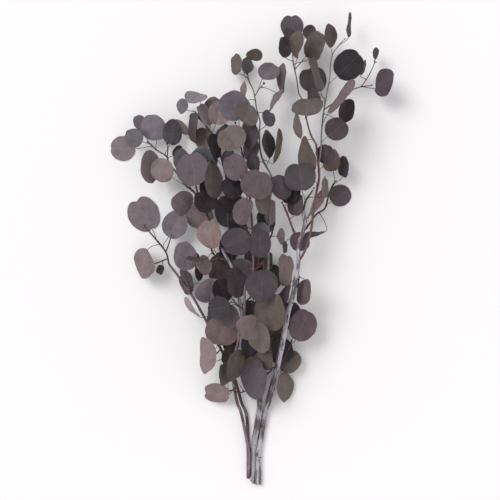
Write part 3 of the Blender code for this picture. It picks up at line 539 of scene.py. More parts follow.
# How much lighter or darker the leaves of each spray are painted, against the rest of the bunch: painted
# light and shade, set for how the light falls on each spray
SPRAY_PAINTED_LIGHT = {"spray_crown_mid_tip": 0.82, "spray_crown_mid": 0.88, "spray_crown_right": 0.82,
       "spray_crown_right_tip": 0.86, "spray_right_long": 0.80, "spray_right_fork_mid": 0.78,
       "spray_right_inner": 0.92, "spray_top_tip": 0.88, "spray_top_low": 0.92, "spray_core_top": 0.78,
       "spray_collar_left": 1.10, "spray_left_low": 1.12, "spray_left_inner": 1.04, "spray_base_back": 1.2,
       "spray_upper_left": 1.05, "spray_crown_left": 1.16, "spray_centre_left": 1.2, "spray_mid_top": 1.15,
       "spray_right_fork_out": 1.12}
# What the layout's letters stand for, by the names of the leaf colours
TONES = {"T": "taupe", "M": "mauve", "S": "slate", "O": "olive", "D": "charcoal", "N": "night",
         "B": "brown", "P": "plum"}
# How pale the bark of a stem is, and how red the rest of it
STEM_LOOKS = {"stem_right": (0.95, 0.0), "stem_back": (0.80, 0.0), "stem_left": (0.25, 0.1),
              "stem_centre": (0.30, 0.8), "stem_tall": (0.70, 0.0)}
# The same for sprays whose twigs differ from the rest
TWIG_LOOKS = {"spray_right_fork_left": (0.0, 0.9), "spray_right_long": (0.05, 0.6),
              "spray_centre_mid": (0.0, 0.9), "spray_centre_upper": (0.1, 0.8),
              "spray_centre_high": (0.0, 0.4), "spray_crown_right": (0.25, 0.1),
              "spray_crown_right_tip": (0.30, 0.0),
              "spray_crown_mid": (0.08, 0.3), "spray_top_low": (0.14, 0.35)}


def to_linear(code):
    """The linear colour of an sRGB hex value."""
    values = [int(code[i:i + 2], 16) / 255 for i in (0, 2, 4)]
    return tuple(v / 12.92 if v <= 0.04045 else ((v + 0.055) / 1.055) ** 2.4 for v in values)


def colour(name, description, code):
    """A colour property with a hex default."""
    return bpy.props.FloatVectorProperty(
        name=name, description=description, subtype="COLOR", size=3, min=0, max=1, default=to_linear(code))


def metres(name, description, default):
    """A length property in metres."""
    return bpy.props.FloatProperty(
        name=name, description=description, default=default, min=0, precision=5, unit="LENGTH")


class BranchLeafSettings(bpy.types.PropertyGroup):
    """Sizes and colours of the leaves."""
    thickness: metres("Blade Thickness", "Thickness of a leaf along its midrib", 0.0005)
    edge: metres("Edge Thickness", "Thickness of a leaf at its margin", 0.00026)
    stalk: metres("Stalk Radius", "Radius of a leaf stalk at its middle", 0.00052)
    taupe: colour("Taupe", "Leaves that catch the light, pinkish", "857679")
    mauve: colour("Mauve", "Leaves of a cool mauve grey", "766b71")
    slate: colour("Slate", "Leaves of a blue grey", "646067")
    olive: colour("Olive", "Leaves of an olive charcoal", "695e59")
    charcoal: colour("Charcoal", "Dark leaves", "4e4448")
    night: colour("Night", "The darkest leaves", "322c31")
    brown: colour("Brown", "Leaves of a pinkish brown", "7b6a69")
    plum: colour("Plum", "Dark leaves with a purple cast", "5c4f54")


class BranchWoodSettings(bpy.types.PropertyGroup):
    """Colours of the stems and twigs."""
    bark: colour("Bark", "Pale bark of the old stems", "c3bdc8")
    patch: colour("Bark Patch", "Brown patches and cracks of the bark", "4e3e3a")
    young: colour("Young Twig", "Dark red-brown bark of the twigs", "382a2b")
    red: colour("Red Twig", "Red bark of the youngest shoots", "642931")
    wood: colour("Cut Wood", "Wood of the cut ends", "c3b299")
    bud: colour("Bud", "Dry buds at the tips", "2a2024")


class BranchStageSettings(bpy.types.PropertyGroup):
    """The floor, the light and the camera."""
    floor: colour("Floor", "Colour of the floor", "f4f2f2")
    air: colour("Air", "Colour of the light from all round", "f6f6f8")
    fill: bpy.props.FloatProperty(
        name="Fill", description="Strength of the light from all round", default=0.80, min=0)
    key: bpy.props.FloatProperty(
        name="Key Light", description="Strength of the soft light from the upper left", default=1.5, min=0)
    softness: bpy.props.FloatProperty(
        name="Softness", description="Apparent size of the key light", subtype="ANGLE",
        default=math.radians(32), min=0, max=math.pi)
    lens: bpy.props.FloatProperty(
        name="Lens", description="Focal length on a 36 mm sensor", default=80, min=1, unit="CAMERA")
    height: metres("Camera Height", "Height of the camera over the floor", 1.6)


# What each point carries for its material, and how it is stored. place is across, along and the part
# of the half width on a leaf, and the way round and along on wood. under is 1 on the underside of a
# leaf, and on a stem it is how near an old leaf scar is.
POINT_VALUES = {"tint": ("FLOAT_COLOR", "color"), "place": ("FLOAT_VECTOR", "vector"),
                "under": ("FLOAT", "value")}


def link_object(name, data):
    """A new object with this data, in the scene."""
    result = bpy.data.objects.new(name, data)
    bpy.context.scene.collection.objects.link(result)
    return result


class Draft:
    """Collects the points, faces and point values of a mesh that is grown in pieces."""

    def __init__(self):
        self.points, self.faces, self.slots = [], [], []
        self.values = {key: [] for key in POINT_VALUES}
        self.count = 0

    def add(self, points, faces, slot, tint, place, under=0.0):
        """Adds a piece of one tint. Nothing reaches under the floor."""
        self.points.append(np.maximum(points, (-np.inf, -np.inf, 0)))
        self.faces += [tuple(int(i) + self.count for i in face) for face in faces]
        self.slots += [slot] * len(faces)
        self.values["tint"].append(np.tile((*tint, 1.0), (len(points), 1)))
        self.values["place"].append(place)
        self.values["under"].append(under + np.zeros(len(points)))
        self.count += len(points)

    def to_object(self, name, materials):
        """Makes the object, with its point values."""
        mesh = bpy.data.meshes.new(name)
        mesh.from_pydata(np.concatenate(self.points).tolist(), [], self.faces)
        for item in materials:
            mesh.materials.append(item)
        mesh.polygons.foreach_set("material_index", self.slots)
        for key, (kind, field) in POINT_VALUES.items():
            values = np.concatenate(self.values[key])
            mesh.attributes.new(key, kind, "POINT").data.foreach_set(field, values.ravel())
        mesh.shade_smooth()
        mesh.set_sharp_from_angle(angle=math.radians(55))
        mesh.validate()
        return link_object(name, mesh)


def settle(points):
    """Layout points moved into the frame."""
    return np.asarray(points, float) - (ORIGIN[0], ORIGIN[1], 0)


def wobble(rng, count):
    """A smooth random curve over 0 to 1, between -1 and 1, as a function of arrays."""
    waves = [(rng.uniform(0.3, 1) / (k + 1), (k + 1) * rng.uniform(0.8, 1.2), rng.uniform(0, 6.3))
             for k in range(count)]
    total = sum(w[0] for w in waves)
    return lambda x: sum(a * np.sin(2 * np.pi * f * x + p) for a, f, p in waves) / total


def tube_rings(path, radii, sides, relief=None):
    """Points round a path without twist, ring by ring, with their angle and distance along it."""
    path = np.asarray([tuple(p) for p in path], float)
    ahead = np.gradient(path, axis=0)
    ahead /= np.linalg.norm(ahead, axis=1)[:, None]
    steps = np.linalg.norm(np.diff(path, axis=0), axis=1)
    along = np.concatenate([[0], np.cumsum(steps)])
    across = np.cross(ahead[0], (0.2, 0.1, 1.0))
    angles = 2 * np.pi * np.arange(sides) / sides
    points = np.empty((len(path), sides, 3))
    for i, direction in enumerate(ahead):
        across = across - direction * across.dot(direction)
        across /= np.linalg.norm(across)
        upward = np.cross(direction, across)
        reach = np.full(sides, radii[i])
        if relief is not None:
            reach = reach * relief(along[i], angles)
        points[i] = (path[i] + np.outer(reach * np.cos(angles), across)
                     + np.outer(reach * np.sin(angles), upward))
    return points, angles, along


def add_tube(draft, path, radii, sides, slot, tint, relief=None, end_slot=None, scar=None):
    """Adds a closed tube with capped ends. place holds the way round the tube and along it."""
    points, angles, along = tube_rings(path, radii, sides, relief)
    rings = len(points)
    faces = []
    for i in range(rings - 1):
        for k in range(sides):
            a, b = i * sides + k, i * sides + (k + 1) % sides
            faces.append((a, b, b + sides, a + sides))
    ring_radius = np.asarray(radii)[:, None] * np.ones(sides)
    place = np.stack([ring_radius * np.cos(angles), ring_radius * np.sin(angles),
                      along[:, None] * np.ones(sides)], axis=-1).reshape(-1, 3)
    marks = 0.0 if scar is None else np.concatenate([scar(a, angles) for a in along])
    draft.add(points.reshape(-1, 3), faces, slot, tint, place, marks)
    # A cap is a fan. It bulges a little, apart from one that is cut and has its own material.
    ahead = (points[-1].mean(0) - points[0].mean(0)) / max(1e-9, along[-1])
    for ring, order in ((0, -1), (rings - 1, 1)):
        bulge = 0.12 * order * radii[ring] * ahead * (end_slot is None)
        rim = points[ring]
        corner = np.vstack([rim, rim.mean(axis=0) + bulge])
        fan = [(k, (k + 1) % sides, sides)[::order] for k in range(sides)]
        spot = np.zeros((sides + 1, 3))
        spot[:sides, 0] = radii[ring] * np.cos(angles)
        spot[:sides, 1] = radii[ring] * np.sin(angles)
        draft.add(corner, fan, slot if end_slot is None else end_slot, tint, spot)


def leaf_tint(leaf, painted_light, rng, settings):
    """The leaf's colour: its tone, times its spray's painted light and shade, and a little lighter or
    darker, warmer or cooler at random.
    """
    tone = np.array(getattr(settings, TONES[leaf["tone"]]))
    warm = rng.uniform(-0.045, 0.045)
    return tone * painted_light * rng.uniform(0.88, 1.12) * np.array((1 + warm, 1, 1 - warm))


def bark_tint(wood, pale, red):
    """The colour of a stem or twig: a share of pale bark, and the rest more or less red."""
    young = np.array(wood.young) * (1 - red) + np.array(wood.red) * red
    return np.array(wood.bark) * pale + young * (1 - pale)


def add_blade(draft, leaf, tint, rng, settings):
    """Adds a leaf blade: a thin closed sheet with a sunk midrib, uneven margins and a soft wave."""
    # u goes along the blade and v across it. Rows crowd near both ends.
    half_turns = np.linspace(0, np.pi, BLADE_ROWS + 2)[1:-1]
    u = ((1 - np.cos(half_turns)) / 2)[:, None]
    v = np.array(BLADE_COLUMNS)[None, :]
    size, width = leaf["length"], leaf["width"]
    edge = wobble(rng, 6)
    half = 0.5 * width * (4 * u * (1 - u)) ** leaf["full"] * (1 + leaf["egg"] * (0.5 - u))
    half = half * (1 + MARGIN_WAVE * edge(u + 0.4 * np.sign(v)) * np.abs(v))
    lateral = v * half
    tip = np.clip((u - 0.7) / 0.3, 0, 1) ** 2
    dip = leaf["notch"] * tip * np.exp(-(lateral / (0.12 * width)) ** 2)
    lobes = rng.uniform(0.0, LOBE) * size * (1 - u) ** 4 * np.abs(v) ** 1.5
    along = u * size - dip - lobes
    rise = leaf["arch"] * 4 * u * (1 - u) + leaf["fold"] * np.abs(lateral)
    rise = rise + leaf["wave"] * v * np.abs(v) * np.sin(2 * np.pi * u + leaf["phase"])
    ripple, swell = wobble(rng, 4), wobble(rng, 3)
    if leaf["flat"]:
        rise = rise + CURL * v**4 * (0.5 + 0.5 * ripple(u * 1.3 + 0.2 * v))
    else:
        rise = rise + RIPPLE * ripple(u * 1.6 + 0.3 * v) * v**2 + 0.6 * RIPPLE * swell(0.7 * u - 0.5 * v)
    groove = np.exp(-(lateral / GROOVE) ** 2)
    thick = settings.edge + (settings.thickness - settings.edge) * (1 - np.abs(v) ** 3) + 0 * u
    top = rise + thick / 2 - GROOVE_DEPTH[0] * groove * (1 - 0.6 * u)
    low = rise - thick / 2 - GROOVE_DEPTH[1] * groove * (1 - 0.8 * u) * (0 if leaf["flat"] else 1)
    base, axis, side, normal = (np.array(leaf[key]) for key in ("base", "axis", "side", "normal"))
    flat = base + along[..., None] * axis + lateral[..., None] * side
    end = np.array([base, base + (size - leaf["notch"]) * axis])
    points = []
    for height, order in ((top, 1), (low, -1)):
        points.append((flat + height[..., None] * normal).reshape(-1, 3))
        points.append(end + order * settings.edge / 2 * normal)
    # Each side is a grid with a fan at both ends, and a band joins the two margins.
    columns = len(BLADE_COLUMNS)
    sheet = BLADE_ROWS * columns + 2
    faces = []
    for layer, flip in ((0, 1), (sheet, -1)):
        for i in range(BLADE_ROWS - 1):
            for k in range(columns - 1):
                a = layer + i * columns + k
                faces.append((a, a + columns, a + columns + 1, a + 1)[::flip])
        for k in range(columns - 1):
            a = layer + k
            b = layer + (BLADE_ROWS - 1) * columns + k
            faces.append((layer + sheet - 2, a, a + 1)[::flip])
            faces.append((layer + sheet - 1, b + 1, b)[::flip])
    for first, order in ((0, 1), (columns - 1, -1)):
        line = [sheet - 2] + [i * columns + first for i in range(BLADE_ROWS)] + [sheet - 1]
        for a, b in zip(line, line[1:]):
            faces.append((a, a + sheet, b + sheet, b)[::order])
    spot = np.stack([lateral, along, v + 0 * u], axis=-1).reshape(-1, 3)
    spot = np.vstack([spot, (0, 0, 0), (0, size, 0)])
    under = np.repeat((0.0, 1.0), sheet)
    draft.add(settle(np.vstack(points)), faces, 0, tint, np.vstack([spot, spot]), under)


def add_stalk(draft, leaf, tint, settings):
    """Adds a leaf stalk: thick at its seat, thin in the middle, running out under the midrib."""
    times = np.linspace(0, 1, STALK_POINTS)
    path = [np.array(stalk_point(leaf, t)) for t in times]
    axis, normal = np.array(leaf["axis"]), np.array(leaf["normal"])
    under = 0.0 if leaf["flat"] else 0.0002
    path += [path[-1] + reach * axis - under * normal for reach in STALK_END]
    radii = [settings.stalk * (1 + 0.9 * math.exp(-t * 14) - 0.12 * math.sin(math.pi * t)) for t in times]
    radii += [0.75 * settings.stalk, 0.5 * settings.stalk, NEEDLE]
    if leaf["flat"]:
        radii = [min(r, max(NEEDLE, p[2] - NEEDLE / 2)) for r, p in zip(radii, path)]
    add_tube(draft, settle(path), radii, STALK_SIDES, 1, tint)


def add_buds(draft, path, rng, tint):
    """Adds two or three small pointed buds on short stalks, at the tip of a twig."""
    tip, ahead = np.array(path[-1]), np.array(path[-1] - path[-2])
    ahead /= np.linalg.norm(ahead)
    for _ in range(rng.randint(2, 3)):
        lean = ahead + np.array([rng.uniform(-0.55, 0.55) for _ in range(3)])
        lean[2] = abs(lean[2])
        size = rng.uniform(*BUD_SIZE)
        direction = lean / np.linalg.norm(lean)
        root = tip + BUD_OUT * lean - direction * size * 2.2
        bud = [root + direction * (reach * size) for reach, _ in BUD_FORM]
        add_tube(draft, settle(bud), [radius * size for _, radius in BUD_FORM], BUD_SIDES, 2, tint)


def swollen(path, radii, seats):
    """A twig's radii, a little thicker where a leaf sits on it."""
    spots = np.array(seats or [(9, 9, 9)])
    result = []
    for point, radius in zip(path, radii):
        near = np.min(np.linalg.norm(spots - np.array(point), axis=1))
        result.append(radius * (0.92 + 0.30 * math.exp(-(near / SEAT_REACH) ** 2)))
    return result


def stem_relief(rng, spots):
    """The uneven radius of a woody stem, and how near each point is to an old leaf's scar."""
    ridges = [(rng.uniform(0.004, 0.012), rng.randint(2, 6), rng.uniform(0, 6.3), rng.uniform(8, 40))
              for _ in range(5)]

    def scar(along, angles):
        result = np.zeros_like(angles)
        for spot, turn in spots:
            near = math.exp(-((along - spot) / SCAR_REACH) ** 2)
            result = np.maximum(result, near * np.exp(-(2.2 * np.sin((angles - turn) / 2)) ** 2))
        return result

    def relief(along, angles):
        result = np.ones_like(angles)
        for size, count, start, twist in ridges:
            result += size * np.sin(count * angles + start + twist * along)
        for spot, _ in spots:
            result += 0.05 * math.exp(-((along - spot) / JOINT_REACH) ** 2)
        near = scar(along, angles)
        return result + 0.20 * near - 0.16 * np.clip((near - 0.7) / 0.3, 0, 1) ** 2

    return relief, scar


def connect(tree, node, inputs):
    """Links or sets a node's inputs, by name or in their order. A node stands for its first output."""
    pairs = inputs.items() if isinstance(inputs, dict) else enumerate(inputs)
    for key, value in pairs:
        if isinstance(value, bpy.types.Node):
            value = value.outputs[0]
        if isinstance(value, bpy.types.NodeSocket):
            tree.links.new(value, node.inputs[key])
        else:
            node.inputs[key].default_value = value


def add_node(tree, kind, inputs=(), **settings):
    """Adds a shader node with its settings and links."""
    node = tree.nodes.new("ShaderNode" + kind)
    for key, value in settings.items():
        setattr(node, key, value)
    connect(tree, node, inputs)
    return node


def new_material(name, roughness, level, *wanted):
    """A material, its node tree and shader, and a socket for each point value that it wants."""
    result = bpy.data.materials.new(name)
    result.use_nodes = True
    tree = result.node_tree
    shader = tree.nodes["Principled BSDF"]
    connect(tree, shader, {"Roughness": roughness, "Specular IOR Level": level})
    outputs = {"tint": "Color", "place": "Vector", "under": "Fac"}
    values = [add_node(tree, "Attribute", attribute_name=key).outputs[outputs[key]] for key in wanted]
    return result, tree, shader, *values


def mottle(tree, where, scale, detail, roughness, noise_range, factor_range):
    """A noise, and a factor that goes through its range as the noise goes through its own."""
    noise = add_node(tree, "TexNoise", {
        "Vector": where, "Scale": scale, "Detail": detail, "Roughness": roughness})
    return noise, add_node(tree, "MapRange", (noise, *noise_range, *factor_range))


def cover(tree, shader, colour_value, height, strength, depth):
    """Gives a surface its colour, and a relief of this depth in metres."""
    bump = add_node(tree, "Bump", {"Strength": strength, "Distance": depth, "Height": height})
    connect(tree, shader, {"Base Color": colour_value, "Normal": bump})


def leaf_material():
    """Preserved eucalyptus leaf."""
    # A leaf steeped in glycerine and dye keeps its waxy skin: it is matt with a soft, low gloss, its
    # midrib stays paler, and the dye settles unevenly between the veins.
    result, tree, shader, tint, place, under = new_material(
        "preserved_leaf_glycerine_dyed", 0.55, 0.22, "tint", "place", "under")
    parts = add_node(tree, "SeparateXYZ", (place,))
    lateral = add_node(tree, "Math", (parts.outputs[0],), operation="ABSOLUTE")
    margin = add_node(tree, "Math", (parts.outputs[2],), operation="ABSOLUTE")
    midrib = add_node(tree, "MapRange", (lateral, 0.00020, 0.00075, 1, 0), interpolation_type="SMOOTHSTEP")
    # Side veins leave the midrib every 6.8 mm at about 55 degrees and wander a little.
    wander = add_node(tree, "TexNoise", {"Vector": place, "Scale": 160, "Detail": 2})
    drift = add_node(tree, "Math", (wander, 0.0030, parts.outputs[1]), operation="MULTIPLY_ADD")
    slope = add_node(tree, "Math", (lateral, -0.72, drift), operation="MULTIPLY_ADD")
    vein_far = add_node(tree, "Math", (slope, 0.0034), operation="PINGPONG")
    vein_line = add_node(
        tree, "MapRange", (vein_far, 0.00005, 0.00042, 1, 0), interpolation_type="SMOOTHSTEP")
    fade = add_node(tree, "MapRange", (margin, 0.35, 0.95, 0.8, 0.15))
    side_vein = add_node(tree, "Math", (vein_line, fade), operation="MULTIPLY")
    # A net of the finest veins, in cells of about 0.9 mm.
    net = add_node(tree, "TexVoronoi", {"Vector": place, "Scale": 1100}, feature="DISTANCE_TO_EDGE")
    net_line = add_node(tree, "MapRange", (net.outputs["Distance"], 0.0, 0.16, 1, 0))
    # The dye lies in clouds of 5 to 15 mm, and in specks of about 1 mm.
    spot = add_node(tree, "TexCoord").outputs["Object"]
    clouds, cloud_light = mottle(tree, spot, 95, 4, 0.6, (0.3, 0.7), (0.80, 1.20))
    specks, speck_light = mottle(tree, spot, 900, 3, 0.7, (0.35, 0.7), (0.90, 1.08))
    light = add_node(tree, "Math", (cloud_light, speck_light), operation="MULTIPLY")
    body = add_node(tree, "VectorMath", {0: tint, "Scale": light}, operation="SCALE")
    # The underside is a fifth paler.
    paler = add_node(tree, "Mix", {0: under, 6: (1, 1, 1, 1), 7: (1.22, 1.20, 1.18, 1)}, data_type="RGBA")
    sided = add_node(tree, "VectorMath", (body, paler.outputs[2]), operation="MULTIPLY")
    rib_colour = add_node(
        tree, "VectorMath", (sided, (1.18, 1.15, 1.13), (0.036, 0.031, 0.031)), operation="MULTIPLY_ADD")
    line_share = add_node(tree, "Math", (side_vein, 0.30), operation="MULTIPLY")
    rib_share = add_node(tree, "Math", (midrib, 0.55), operation="MULTIPLY")
    vein_share = add_node(tree, "Math", (line_share, rib_share), operation="MAXIMUM")
    veined = add_node(tree, "Mix", {0: vein_share, 6: sided, 7: rib_colour}, data_type="RGBA")
    # The margin is a thin, warmer, darker line.
    rim = add_node(tree, "MapRange", (margin, 0.93, 1.0, 0, 0.55))
    rim_colour = add_node(tree, "VectorMath", (sided, (0.86, 0.70, 0.68)), operation="MULTIPLY")
    edged = add_node(tree, "Mix", {0: rim, 6: veined.outputs[2], 7: rim_colour}, data_type="RGBA")
    # The wax is glossier where the dye lies thick.
    gloss = add_node(tree, "MapRange", (clouds, 0.3, 0.7, 0.46, 0.66))
    connect(tree, shader, {"Roughness": gloss})
    relief = add_node(tree, "Math", (net_line, 0.25, vein_share), operation="MULTIPLY_ADD")
    grained = add_node(tree, "Math", (specks, 0.35, relief), operation="MULTIPLY_ADD")
    cover(tree, shader, edged.outputs[2], grained, 0.35, 0.00025)
    return result


def twig_material():
    """Young eucalyptus twig and leaf stalk."""
    # Bark of the first years, dried on the branch: thin, smooth and a little glossy, red-brown with
    # fine grey lines along it and small raised pores.
    result, tree, shader, tint, place = new_material("young_twig_bark_dried", 0.5, 0.4, "tint", "place")
    stretched = add_node(tree, "VectorMath", (place, (1, 1, 0.12)), operation="MULTIPLY")
    lines, light = mottle(tree, stretched, 1500, 3, 0.6, (0.3, 0.7), (0.72, 1.30))
    grey = mottle(tree, place, 210, 3, 0.5, (0.52, 0.68), (0, 0.45))[1]
    body = add_node(tree, "VectorMath", {0: tint, "Scale": light}, operation="SCALE")
    mixed = add_node(tree, "Mix", {0: grey, 6: body, 7: (*to_linear("6a5c60"), 1)}, data_type="RGBA")
    # Pores stand about 2 mm apart.
    pores = add_node(tree, "TexVoronoi", {"Vector": place, "Scale": 520})
    pore = add_node(tree, "MapRange", (pores.outputs["Distance"], 0.05, 0.22, 1, 0))
    height = add_node(tree, "Math", (lines, 0.7, pore), operation="MULTIPLY_ADD")
    cover(tree, shader, mixed.outputs[2], height, 0.45, 0.0002)
    return result


def bark_material(wood):
    """Bark of an old eucalyptus stem."""
    # Bark weathered on the tree and dried after the cut: a pale, chalky skin that has come off in
    # long patches over brown bark, with fine cracks along the stem.
    result, tree, shader, tint, place, scar = new_material(
        "stem_bark_weathered", 0.72, 0.3, "tint", "place", "under")
    long_way = add_node(tree, "VectorMath", (place, (1, 1, 0.16)), operation="MULTIPLY")
    patches = add_node(tree, "TexNoise", {
        "Vector": long_way, "Scale": 260, "Detail": 5, "Roughness": 0.62})
    # Over stretches of 3 to 5 cm the skin is nearly whole or nearly gone.
    stretches = add_node(tree, "TexNoise", {"Vector": place, "Scale": 27, "Detail": 1})
    worn = add_node(tree, "Math", (stretches, 0.75, patches), operation="MULTIPLY_ADD")
    patch = add_node(tree, "MapRange", (worn, 0.85, 0.93, 0, 1), interpolation_type="SMOOTHSTEP")
    fibres, light = mottle(tree, long_way, 1600, 4, 0.7, (0.3, 0.7), (0.66, 1.22))
    pale = add_node(tree, "VectorMath", {0: tint, "Scale": light}, operation="SCALE")
    brown = add_node(tree, "VectorMath", {0: tuple(wood.patch), "Scale": light}, operation="SCALE")
    share = add_node(tree, "Math", (patch, 0.85), operation="MULTIPLY")
    mixed = add_node(tree, "Mix", {0: share, 6: pale, 7: brown}, data_type="RGBA")
    # Splits run 10 to 20 mm along the stem, where a strongly stretched noise crosses one value.
    split_way = add_node(tree, "VectorMath", (place, (1, 1, 0.07)), operation="MULTIPLY")
    splits = add_node(tree, "TexNoise", {"Vector": split_way, "Scale": 520, "Detail": 2})
    split_side = add_node(tree, "Math", (splits, -0.46), operation="ADD")
    split_far = add_node(tree, "Math", (split_side,), operation="ABSOLUTE")
    crack = add_node(tree, "MapRange", (split_far, 0.0, 0.022, 0.50, 1))
    cracked = add_node(tree, "VectorMath", {0: mixed.outputs[2], "Scale": crack}, operation="SCALE")
    # An old leaf leaves a chalky ring round a dark pit.
    skin = cracked.outputs[0]
    for low, high, most, code in ((0.25, 0.60, 0.5, "c6bfc2"), (0.68, 0.86, 0.95, "2c2223")):
        mark = add_node(tree, "MapRange", (scar, low, high, 0, most), interpolation_type="SMOOTHSTEP")
        marked = add_node(tree, "Mix", {0: mark, 6: skin, 7: (*to_linear(code), 1)}, data_type="RGBA")
        skin = marked.outputs[2]
    height = add_node(tree, "Math", (crack, 0.8, fibres), operation="MULTIPLY_ADD")
    deep = add_node(tree, "Math", (patch, -0.5, height), operation="MULTIPLY_ADD")
    cover(tree, shader, skin, deep, 0.6, 0.0005)
    return result


def cut_wood_material(wood):
    """Cut end of a eucalyptus stem."""
    # Wood cut across with shears: pale, matt and fibrous, with faint rings round a darker pith.
    result, tree, shader, place = new_material("stem_wood_sheared", 0.8, 0.25, "place")
    far = add_node(tree, "VectorMath", (place,), operation="LENGTH").outputs["Value"]
    grain = add_node(tree, "TexNoise", {"Vector": place, "Scale": 2200, "Detail": 3})
    uneven = add_node(tree, "Math", (grain, 0.00035, far), operation="MULTIPLY_ADD")
    # Rings 0.8 mm apart, as in wood of a few years.
    rings = add_node(tree, "Math", (uneven, 0.0004), operation="PINGPONG")
    ring = add_node(tree, "MapRange", (rings, 0, 0.0004, 0.72, 1.05))
    pith = add_node(tree, "MapRange", (uneven, 0.0003, 0.0009, 0.45, 1))
    light = add_node(tree, "Math", (ring, pith), operation="MULTIPLY")
    body = add_node(tree, "VectorMath", {0: tuple(wood.wood), "Scale": light}, operation="SCALE")
    cover(tree, shader, body, grain, 0.4, 0.0002)
    return result


def bud_material():
    """Dried bud."""
    # A bud shrunk in drying: dark, wrinkled and nearly without gloss.
    result, tree, shader, tint, place = new_material("bud_dried_wrinkled", 0.66, 0.3, "tint", "place")
    wrinkles, light = mottle(tree, place, 1300, 3, 0.5, (0.3, 0.7), (0.7, 1.4))
    body = add_node(tree, "VectorMath", {0: tint, "Scale": light}, operation="SCALE")
    cover(tree, shader, body, wrinkles, 0.5, 0.0002)
    return result


def floor_material(stage):
    """Painted studio floor."""
    # Board rolled with matt paint: pale, even and without gloss, with a trace of the roller's nap.
    result, tree, shader = new_material("floor_board_rolled_paint", 0.9, 0.2)
    spot = add_node(tree, "TexCoord").outputs["Object"]
    nap = add_node(tree, "TexNoise", {"Vector": spot, "Scale": 500})
    cover(tree, shader, (*stage.floor, 1), nap, 0.05, 0.0003)
    return result


class BRANCH_OT_stems(bpy.types.Operator):
    """Grow the five woody stems, with their bark, leaf scars and cut ends"""
    bl_idname = "branch.stems"
    bl_label = "Woody Stems"

    def execute(self, context):
        wood = context.scene.branch_wood
        materials = [bark_material(wood), cut_wood_material(wood)]
        for order, name in enumerate(STEMS):
            rng = random.Random(SEED + 500 + order)
            path, radii = stem_path(name, STEM_STEP)
            # The straight stretch gets as many rings as the rest.
            steps = np.linspace(0, 1, STRAIGHT_RINGS + 1)[:-1]
            start = steps[:, None] * np.array(path[1] - path[0]) + np.array(path[0])
            path = [*start, *[np.array(p) for p in path[1:]]]
            radii = list(np.interp(steps, [0, 1], radii[:2])) + radii[1:]
            far = sum((Vector(b) - Vector(a)).length for a, b in zip(path, path[1:]))
            # Old leaf scars, each on the other side of the stem from the one before.
            spots, turn, spot = [], rng.uniform(0, 6.3), rng.uniform(0.01, 0.02)
            while spot < far - 0.01:
                spots.append((spot, turn))
                spot += NODE_SPACING * rng.uniform(0.7, 1.25)
                turn += math.pi + rng.uniform(-0.5, 0.5)
            tint = bark_tint(wood, *STEM_LOOKS[name])
            draft = Draft()
            relief, scar = stem_relief(rng, spots)
            add_tube(draft, settle(path), radii, STEM_SIDES, 0, tint, relief, 1, scar)
            piece = draft.to_object(name + "_bark", materials)
            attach(piece, "root")
            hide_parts(name)
        return {"FINISHED"}


class BRANCH_OT_sprays(bpy.types.Operator):
    """Grow the leafy sprays: twigs, stalks, blades and the small buds at the tips"""
    bl_idname = "branch.sprays"
    bl_label = "Leafy Sprays"

    def execute(self, context):
        settings = context.scene.branch_leaf
        wood = context.scene.branch_wood
        materials = [leaf_material(), twig_material(), bud_material()]
        leaves = lay_out_leaves()
        carriers = {spec[0] for spec in SPRAYS.values()}
        for order, name in enumerate(SPRAYS):
            rng = random.Random(SEED + 900 + order)
            draft = Draft()
            # Twigs that aren't listed are dark, with a trace of red.
            plain = (0.0, rng.choice((0.0, 0.03, 0.08, 0.14)))
            young = bark_tint(wood, *TWIG_LOOKS.get(name, plain))
            seats = [tuple(leaf["seat"]) for leaf in leaves[name]]
            for number, (path, radii) in enumerate(twig_paths(name, PATH_STEP)):
                radii = swollen(path, radii, seats)
                ends = number > 0 or name not in carriers
                if ends:
                    radii[-1] *= 0.55
                add_tube(draft, settle(path), radii, TWIG_SIDES, 1, young)
                if ends:
                    add_buds(draft, path, rng, wood.bud)
            for leaf in leaves[name]:
                # The spray's factor is painted light and shade, multiplied into each leaf's tone.
                tint = leaf_tint(leaf, SPRAY_PAINTED_LIGHT.get(name, 1.0), rng, settings)
                add_blade(draft, leaf, tint, rng, settings)
                add_stalk(draft, leaf, 0.6 * young + 0.4 * tint, settings)
            piece = draft.to_object(name + "_leaves", materials)
            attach(piece, "root")
            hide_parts(name)
        return {"FINISHED"}


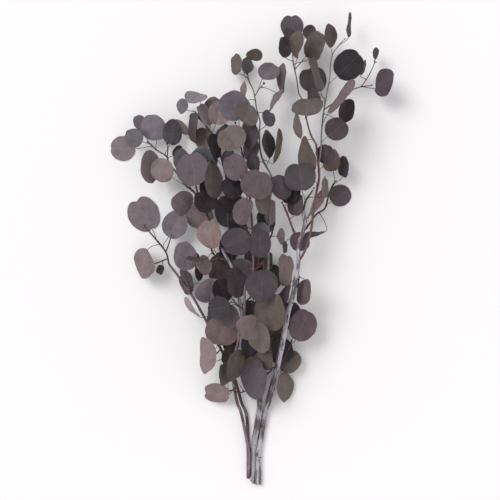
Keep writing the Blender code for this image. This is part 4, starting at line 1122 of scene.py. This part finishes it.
class BRANCH_OT_stage(bpy.types.Operator):
    """Set the pale floor, the soft studio light and the camera"""
    bl_idname = "branch.stage"
    bl_label = "Stage"

    def execute(self, context):
        stage = context.scene.branch_stage
        mesh = bpy.data.meshes.new("studio_floor")
        corners = [(x * FLOOR_REACH, y * FLOOR_REACH, 0) for x, y in ((-1, -1), (1, -1), (1, 1), (-1, 1))]
        mesh.from_pydata(corners, [], [(0, 1, 2, 3)])
        mesh.materials.append(floor_material(stage))
        floor = link_object("studio_floor", mesh)
        lamp = bpy.data.lights.new("key_light", "SUN")
        lamp.energy = stage.key
        lamp.angle = stage.softness
        key = link_object("key_light", lamp)
        key.rotation_euler = Vector(KEY_FROM).to_track_quat("Z", "Y").to_euler()
        world = bpy.data.worlds.new("studio_air")
        world.use_nodes = True
        air = world.node_tree.nodes["Background"]
        air.inputs["Color"].default_value = (*stage.air, 1)
        air.inputs["Strength"].default_value = stage.fill
        context.scene.world = world
        context.scene.view_settings.view_transform = "Standard"
        lens = bpy.data.cameras.new("camera")
        lens.lens = stage.lens
        lens.sensor_width = 36
        camera = link_object("camera", lens)
        camera.location = (0.0, 0.0, stage.height)
        context.scene.camera = camera
        return {"FINISHED"}


class BRANCH_PT_panel(bpy.types.Panel):
    """Lists the settings and the steps in the sidebar"""
    bl_idname = "BRANCH_PT_panel"
    bl_label = "Eucalyptus Branch"
    bl_space_type = "VIEW_3D"
    bl_region_type = "UI"
    bl_category = "Eucalyptus"

    def draw(self, context):
        for name, title in (("branch_leaf", "Leaves"), ("branch_wood", "Wood"), ("branch_stage", "Stage")):
            group = getattr(context.scene, name)
            box = self.layout.box()
            box.label(text=title)
            for key in group.bl_rna.properties.keys():
                if key not in ("rna_type", "name"):
                    box.prop(group, key)
        for operator in OPERATORS:
            self.layout.operator(operator.bl_idname)


GROUPS = {"branch_leaf": BranchLeafSettings, "branch_wood": BranchWoodSettings,
          "branch_stage": BranchStageSettings}
OPERATORS = (BRANCH_OT_stems, BRANCH_OT_sprays, BRANCH_OT_stage)


def register():
    for name, group in GROUPS.items():
        bpy.utils.register_class(group)
        setattr(bpy.types.Scene, name, bpy.props.PointerProperty(type=group))
    for item in (*OPERATORS, BRANCH_PT_panel):
        bpy.utils.register_class(item)


def unregister():
    for item in (BRANCH_PT_panel, *reversed(OPERATORS)):
        bpy.utils.unregister_class(item)
    for name, group in GROUPS.items():
        delattr(bpy.types.Scene, name)
        bpy.utils.unregister_class(group)


def main():
    register()
    bpy.ops.branch.stems()
    bpy.ops.branch.sprays()
    bpy.ops.branch.stage()


if __name__ == "__main__":
    main()
